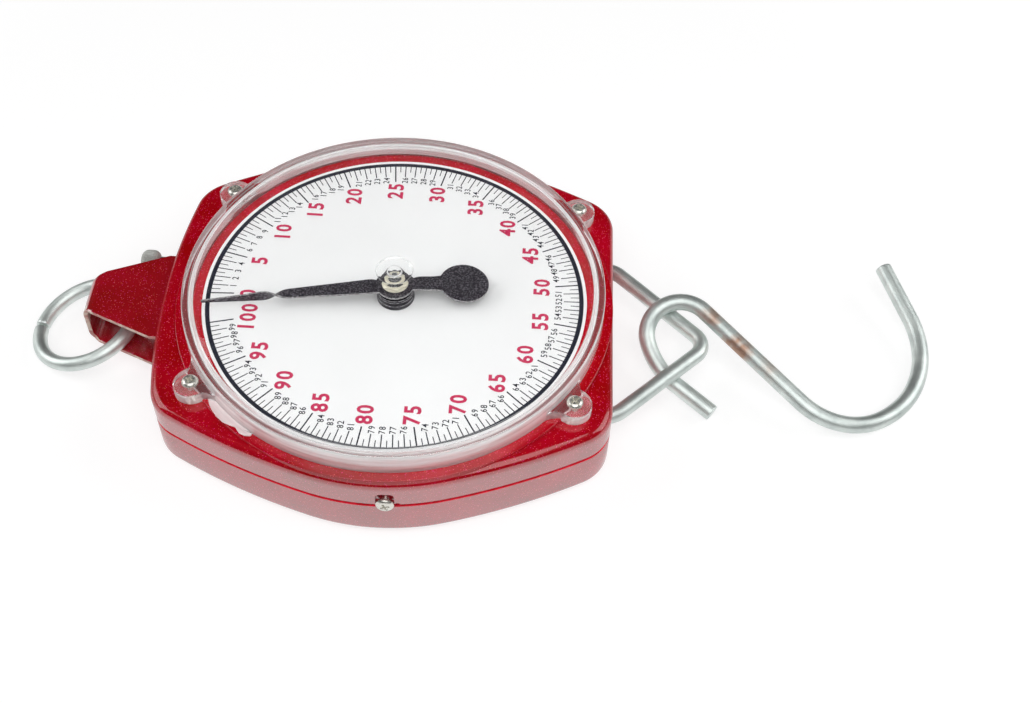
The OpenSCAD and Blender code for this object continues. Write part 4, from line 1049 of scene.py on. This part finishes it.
def lens_form():
    """Rings of points round the axis. Above the ears every ring is a circle of the profile.
    Below, the outer wall bulges into the ears: its radius at angle a is the far side of the
    ear's circle, d cos b + sqrt(r^2 - d^2 sin^2 b) with b measured from the ear, or the ear's
    straight flank, and the rings pass from wall to ear by the share e(a) of that bulge."""
    far = math.hypot(EAR_X, EAR_Y)
    ear_angle = math.atan2(EAR_Y, EAR_X)
    centres = np.array([ear_angle, np.pi - ear_angle, np.pi + ear_angle, -ear_angle])
    near = np.radians(np.concatenate([-np.linspace(8.5, 5.0, 8), -np.linspace(4.6, 0.2, 28),
                                      [0], np.linspace(0.2, 4.6, 28), np.linspace(5.0, 8.5, 8)]))
    dense = (centres[:, None] + near).ravel() % (2 * np.pi)
    even = np.linspace(0, 2 * np.pi, 240, endpoint=False)
    apart = np.abs((even[:, None] - centres + np.pi) % (2 * np.pi) - np.pi).min(1)
    a = np.sort(np.concatenate([dense, even[apart > np.radians(9)]]))
    b = np.abs((a[:, None] - centres + np.pi) % (2 * np.pi) - np.pi).min(1)
    inside = EAR_R ** 2 - (far * np.sin(b)) ** 2
    tip = far * np.cos(b) + np.sqrt(np.clip(inside, 0, None))
    flank = EAR_R / np.sin(np.clip(b, 1e-3, None))
    web = LENS_R + WEB_OUT * np.clip((WEB_START - b) / WEB_GROWS, 0, 1) ** 2
    ear = np.where(inside > 0, tip, 0)
    ear = np.where((inside <= 0) & (flank > web), np.minimum(flank, far), ear)
    ear = np.maximum(ear, np.minimum(web, far))
    e = np.clip((ear - LENS_R) / 0.8, 0, 1)

    def ring(wall_r, wall_z, ear_r, ear_z):
        return (wall_r * (1 - e) + ear_r * e, wall_z * (1 - e) + ear_z * e)

    foot = np.minimum(ear - 0.2, FOOT_R)
    rings = [ring(LENS_R - LENS_WALL, FOOT_Z, LENS_R - LENS_WALL, FOOT_Z),
             ring(LENS_R - 0.3, FOOT_Z, foot, FOOT_Z), ring(LENS_R - 0.02, 36.7, foot, EAR_LOW),
             ring(LENS_R, 36.9, ear - 0.3, EAR_LOW), ring(LENS_R, 37.2, ear, EAR_LOW + 0.35),
             ring(LENS_R, 39.0, ear, EAR_Z - 0.5), ring(LENS_R, 40.0, ear - 0.15, EAR_Z - 0.15),
             ring(LENS_R, 40.6, ear - 0.5, EAR_Z), ring(LENS_R, 41.1, LENS_R + 0.9, EAR_Z + 0.02),
             ring(LENS_R, 41.4, LENS_R + 0.25, EAR_Z + 0.3),
             ring(LENS_R - 0.02, 41.9, LENS_R - 0.02, 41.9)]
    flat = np.ones(len(a))
    rim = [(LENS_R - 0.1 - RIM_R * (1 - math.cos(t)), RIM_Z - RIM_R * (1 - math.sin(t)))
           for t in np.linspace(0.15, np.pi / 2, 6)]
    cap = (DOME_R ** 2 + (DOME_TOP - RIM_Z) ** 2) / (2 * (DOME_TOP - RIM_Z))

    def dome(r, drop):
        return (r, DOME_TOP - drop - cap + math.sqrt(cap ** 2 - r * r))

    top = [(LENS_R - 0.06, 44.0)] + rim + [(DOME_R + 0.6, RIM_Z), (DOME_R + 0.1, RIM_Z + 0.05)] + [
        dome(r, 0) for r in (85.4, 83, 78, 72, 64, 54, 44, 34, 24, 16, 11, 8.9)] + [
        (8.15, DOME_TOP - 0.01), (7.85, DOME_TOP - 0.12), (7.5, DOME_TOP - 0.4),
        (5.6, DIMPLE_Z + 0.25), (4.6, DIMPLE_Z + 0.05), (3.6, DIMPLE_Z), (3.35, DIMPLE_Z + 0.1),
        (3.15, DIMPLE_Z + 0.7), (2.85, DIMPLE_Z + 0.95), (1.9, DIMPLE_Z + 1.0),
        (1.4, DIMPLE_Z + 0.75), (0.7, DIMPLE_Z + 0.7), (0, DIMPLE_Z + 0.72)]
    under = [(0, DIMPLE_Z - 1.5), (3.0, DIMPLE_Z - 1.5), (5.6, DIMPLE_Z - 1.3),
             (7.6, DIMPLE_Z - 0.85), (9.2, 53.2)] + [
        dome(r, DOME_T) for r in (12, 24, 44, 64, 78, 84)] + [
        (85.8, RIM_Z - DOME_T - 0.1), (87.2, RIM_Z - DOME_T - 0.3), (87.9, RIM_Z - DOME_T - 1.2),
        (87.96, 42)]
    over = len(rings) + len(top) - 2
    rings += [(r * flat, z * flat) for r, z in top[:-1] + under[1:]]
    radius = np.array([r for r, z in rings])
    height = np.array([z for r, z in rings])
    n, poles = len(a), len(a) * len(rings)
    quads = grid_faces(len(rings), n, True, close=True).reshape(-1, n, 4)
    faces = np.delete(quads, over, 0).reshape(-1, 4).tolist()
    faces += pole_fan(poles, over * n, n) + pole_fan(poles + 1, (over + 1) * n, n, flip=True)
    points = np.stack([radius * np.cos(a), radius * np.sin(a), height], -1).reshape(-1, 3)
    return np.concatenate([points, [[0, 0, top[-1][1]], [0, 0, under[0][1]]]]), faces


# Where the moulding is clearer or hazier, as places in metres over which it changes: past the
# wall and onto an ear, at the ear's top and foot, past the dimple, and near the top skin.
PAST_WALL, EAR_TOP, EAR_FOOT = (0.09115, 0.0915), (0.04055, 0.0409), (0.0356, 0.0353)
PAST_DIMPLE, TOP_SKIN = (0.010, 0.012), (0.0533, 0.0535)
# How milky it is at each radius or height in millimetres, from 0 for clear to 1 for white. The ramp
# spans 100 mm. The milk is partly the moulding's own haze and partly painted light. The thin rings
# at the dimple's rim and at 86 and 88 mm are painted highlights of edges that bend light. The white
# of the rim and wall stands in part for light bent through the thick plastic.
HAZE_SPAN = 0.1
HAZE_AND_PAINTED_LIGHT_BY_RADIUS = [(0.0, 0.25), (1.2, 0.12), (2.7, 0.08), (3.1, 0.55), (3.5, 0.08), (7.45, 0.02),
                  (7.8, 0.65), (8.15, 0.0), (85.6, 0.0), (85.9, 0.32), (86.15, 0.32), (86.5, 0.06),
                  (87.55, 0.06), (87.8, 0.50), (88.05, 0.50), (88.3, 0.08), (90.1, 0.08),
                  (90.5, 0.42), (90.8, 0.58), (91.1, 0.58), (91.6, 0.50), (99.5, 0.55)]
HAZE_AND_PAINTED_LIGHT_BY_HEIGHT = [(36.5, 0.12), (39.0, 0.16), (39.8, 0.45), (41.0, 0.25), (42.5, 0.35),
                  (43.2, 0.85), (46.5, 0.90)]


def clear_finish(name, by_height, stops_at):
    """Clear polystyrene. Milkiness follows the radius, or by_height the height, through stops in
    millimetres: thin lines round the dimple and the gate mark, none on the dome, most on the flat
    of the rim, the wall and the ears. The lines round the dimple are painted highlights of its
    edge. The white of the rim and wall is part mould haze and part painted light, standing in for
    light bent through the thick plastic. The ears' tops and feet are nearly clear, and the dimple's
    lines stay on the top skin. Noise drawn out along the wall streaks it. Lamp light passes
    straight through to the dial by the shadow ray."""
    finish, tree, shader = new_finish(name)
    place = object_place(tree)
    x, y, z = add_node(tree, "SeparateXYZ", {0: place}).outputs
    flat = add_node(tree, "CombineXYZ", {"X": x, "Y": y})
    away = add_node(tree, "VectorMath", {0: flat}, operation="LENGTH").outputs["Value"]
    measured = maths(tree, "MULTIPLY", z if by_height else away, 1 / HAZE_SPAN)
    milk_ramp = add_node(tree, "ValToRGB", {0: measured})
    stops = milk_ramp.color_ramp.elements
    for at, amount in stops_at:
        stops.new(at * MM / HAZE_SPAN).color = (amount, amount, amount, 1)
    stops.remove(stops[0])
    stops.remove(stops[-1])
    drawn = add_node(tree, "CombineXYZ", {"X": away, "Y": z,
                                          "Z": maths(tree, "MULTIPLY", x, 0.08)})
    streaks = remap(tree, noise(tree, drawn, 420, 3), 0.3, 0.7, 0.6, 1.15)
    past_wall = remap(tree, away, *PAST_WALL)
    ear_ends = maths(tree, "MAXIMUM", remap(tree, z, *EAR_TOP), remap(tree, z, *EAR_FOOT))
    on_ear = remap(tree, maths(tree, "MULTIPLY", past_wall, ear_ends), to_low=1.0, to_high=0.15)
    on_skin = maths(tree, "MAXIMUM", remap(tree, away, *PAST_DIMPLE),
                    remap(tree, z, *TOP_SKIN))
    by_part = maths(tree, "MULTIPLY", on_ear, on_skin)
    milky = maths(tree, "MULTIPLY", milk_ramp, maths(tree, "MULTIPLY", by_part, streaks))
    feed(tree, shader, {
        "Base Color": (0.975, 0.98, 0.98, 1), "IOR": 1.5,
        "Transmission Weight": maths(tree, "SUBTRACT", 1.0, milky, use_clamp=True),
        "Roughness": maths(tree, "MULTIPLY", milky, 0.35),
        "Coat Weight": milky, "Coat IOR": 2.2, "Coat Roughness": 0.06,
        "Normal": bumps(tree, noise(tree, place, 40), 0.04, 0.0002)})
    lamp_light = add_node(tree, "BsdfTransparent", {"Color": (0.96, 0.965, 0.965, 1)})
    in_shadow = add_node(tree, "LightPath").outputs["Is Shadow Ray"]
    surface = add_node(tree, "MixShader", {"Fac": in_shadow, 1: shader, 2: lamp_light})
    feed(tree, tree.nodes["Material Output"], {"Surface": surface})
    return finish


clear = clear_finish("clear_moulding", False, HAZE_AND_PAINTED_LIGHT_BY_RADIUS)
lens = add_piece("lens_moulding", *lens_form(), clear, "case", ["lens_cover"], slot="clear_lens")
middle = face_centres(lens)
away = np.hypot(middle[:, 0], middle[:, 1])
# The wall's inner face takes a second milkiness that rises with height. It is part mould haze and
# part painted light for the glare of light bent through the wall.
MILKY_WALL_R, MILKY_WALL_TOP = (86.0, 88.1), 45.3
second_finish(lens, clear_finish("frosted_wall", True, HAZE_AND_PAINTED_LIGHT_BY_HEIGHT),
              (away > MILKY_WALL_R[0]) & (away < MILKY_WALL_R[1]) & (middle[:, 2] < MILKY_WALL_TOP))

# The flash at the foot of the wall: its ragged edge in plan, and its root on the wall.
FLASH_LOW, FLASH_TOP = 36.52, 36.9
flash_edge = [(-71.2, -59.9), (-70.2, -62.7), (-68.7, -65.1), (-66.5, -68.0), (-63.6, -70.6),
              (-60.5, -72.0), (-57.9, -72.9), (-56.9, -74.3), (-55.9, -75.7), (-53.6, -76.8),
              (-51.2, -76.8), (-50.5, -75.3)]
flash_root = arc((0, 0), LENS_R + 0.02, math.radians(236.2), math.radians(220.1), 12)
add_piece("lens_flash", *column_form(np.concatenate([flash_edge, flash_root]), FLASH_LOW,
                                     FLASH_TOP, 2), clear, "case", slot="clear_lens")


# Screws
# Nickel-plated pan-head cross screws. Four hold the lens's ears, and one on
# each side joins the case halves through the slot in the wall.
SHANK_L = 6.0


def screw_form(radius, height, shank):
    """A pan head on a polar grid: z is h (1 - 0.62 (r / R)^5), less a cross recess whose depth
    grows with the distance inside |x| < w or |y| < w. The rim turns down to the seat and on
    into the shank."""
    sides = 96
    a = np.linspace(0, 2 * np.pi, sides, endpoint=False)
    share = np.concatenate([np.linspace(0.03, 0.66, 22), np.linspace(0.70, 1.0, 12)])[:, None]
    x, y = share * radius * np.cos(a), share * radius * np.sin(a)
    crown = height * (1 - 0.62 * share ** 5)
    w, reach = radius * 0.15, radius * 0.56
    arm_x = np.minimum(w - np.abs(x), (reach - np.abs(y)) * 0.8)
    arm_y = np.minimum(w - np.abs(y), (reach - np.abs(x)) * 0.8)
    inside = np.clip(np.maximum(arm_x, arm_y) / (w * 0.6), 0, 1)
    deep = height * 0.75 * (1 - 0.35 * np.clip(np.hypot(x, y) / reach, 0, 1))
    r = np.concatenate([share * radius, [[radius], [radius - 0.06], [shank], [shank]]])
    below = np.repeat([[height * 0.18], [0], [0], [-SHANK_L]], sides, 1)
    z = np.concatenate([crown - deep * inside, below])
    points = np.stack([r * np.cos(a), r * np.sin(a), z], -1).reshape(-1, 3)
    poles = [[0, 0, height * 0.25], [0, 0, -SHANK_L]]
    return np.concatenate([points, poles]), rod_faces(len(r), sides)


nickel = sheet_finish("nickel_plate", (0.88, 0.86, 0.78), 0.26, (1, 1, 1), metal=0.8)
head, head_faces = screw_form(radius=3.45, height=2.1, shank=1.25)
# Each lens screw's place, and the angle at which its cross came to rest.
spots = [(EAR_X, EAR_Y, 20), (-EAR_X, EAR_Y, 55), (-EAR_X, -EAR_Y, -12), (EAR_X, -EAR_Y, 38)]
lens_screws = [(spun(head, spin) + (x, y, EAR_Z), head_faces) for x, y, spin in spots]
add_piece("lens_screws_form", *join_forms(*lens_screws), nickel, "case", ["lens_screws"],
          slot="screw_nickel")
SIDE_SPIN = 24
head, head_faces = screw_form(radius=3.8, height=1.8, shank=1.5)
x, y, z = spun(head, SIDE_SPIN).T
near = np.stack([SCREW_X + x, -APEX_Y - z, SCREW_Z + y], 1)
far_side = np.stack([SCREW_X - x, APEX_Y + z, SCREW_Z + y], 1)
add_piece("side_screws_form", *join_forms((near, head_faces), (far_side, head_faces)), nickel,
          "case", ["side_screws"], slot="screw_nickel")
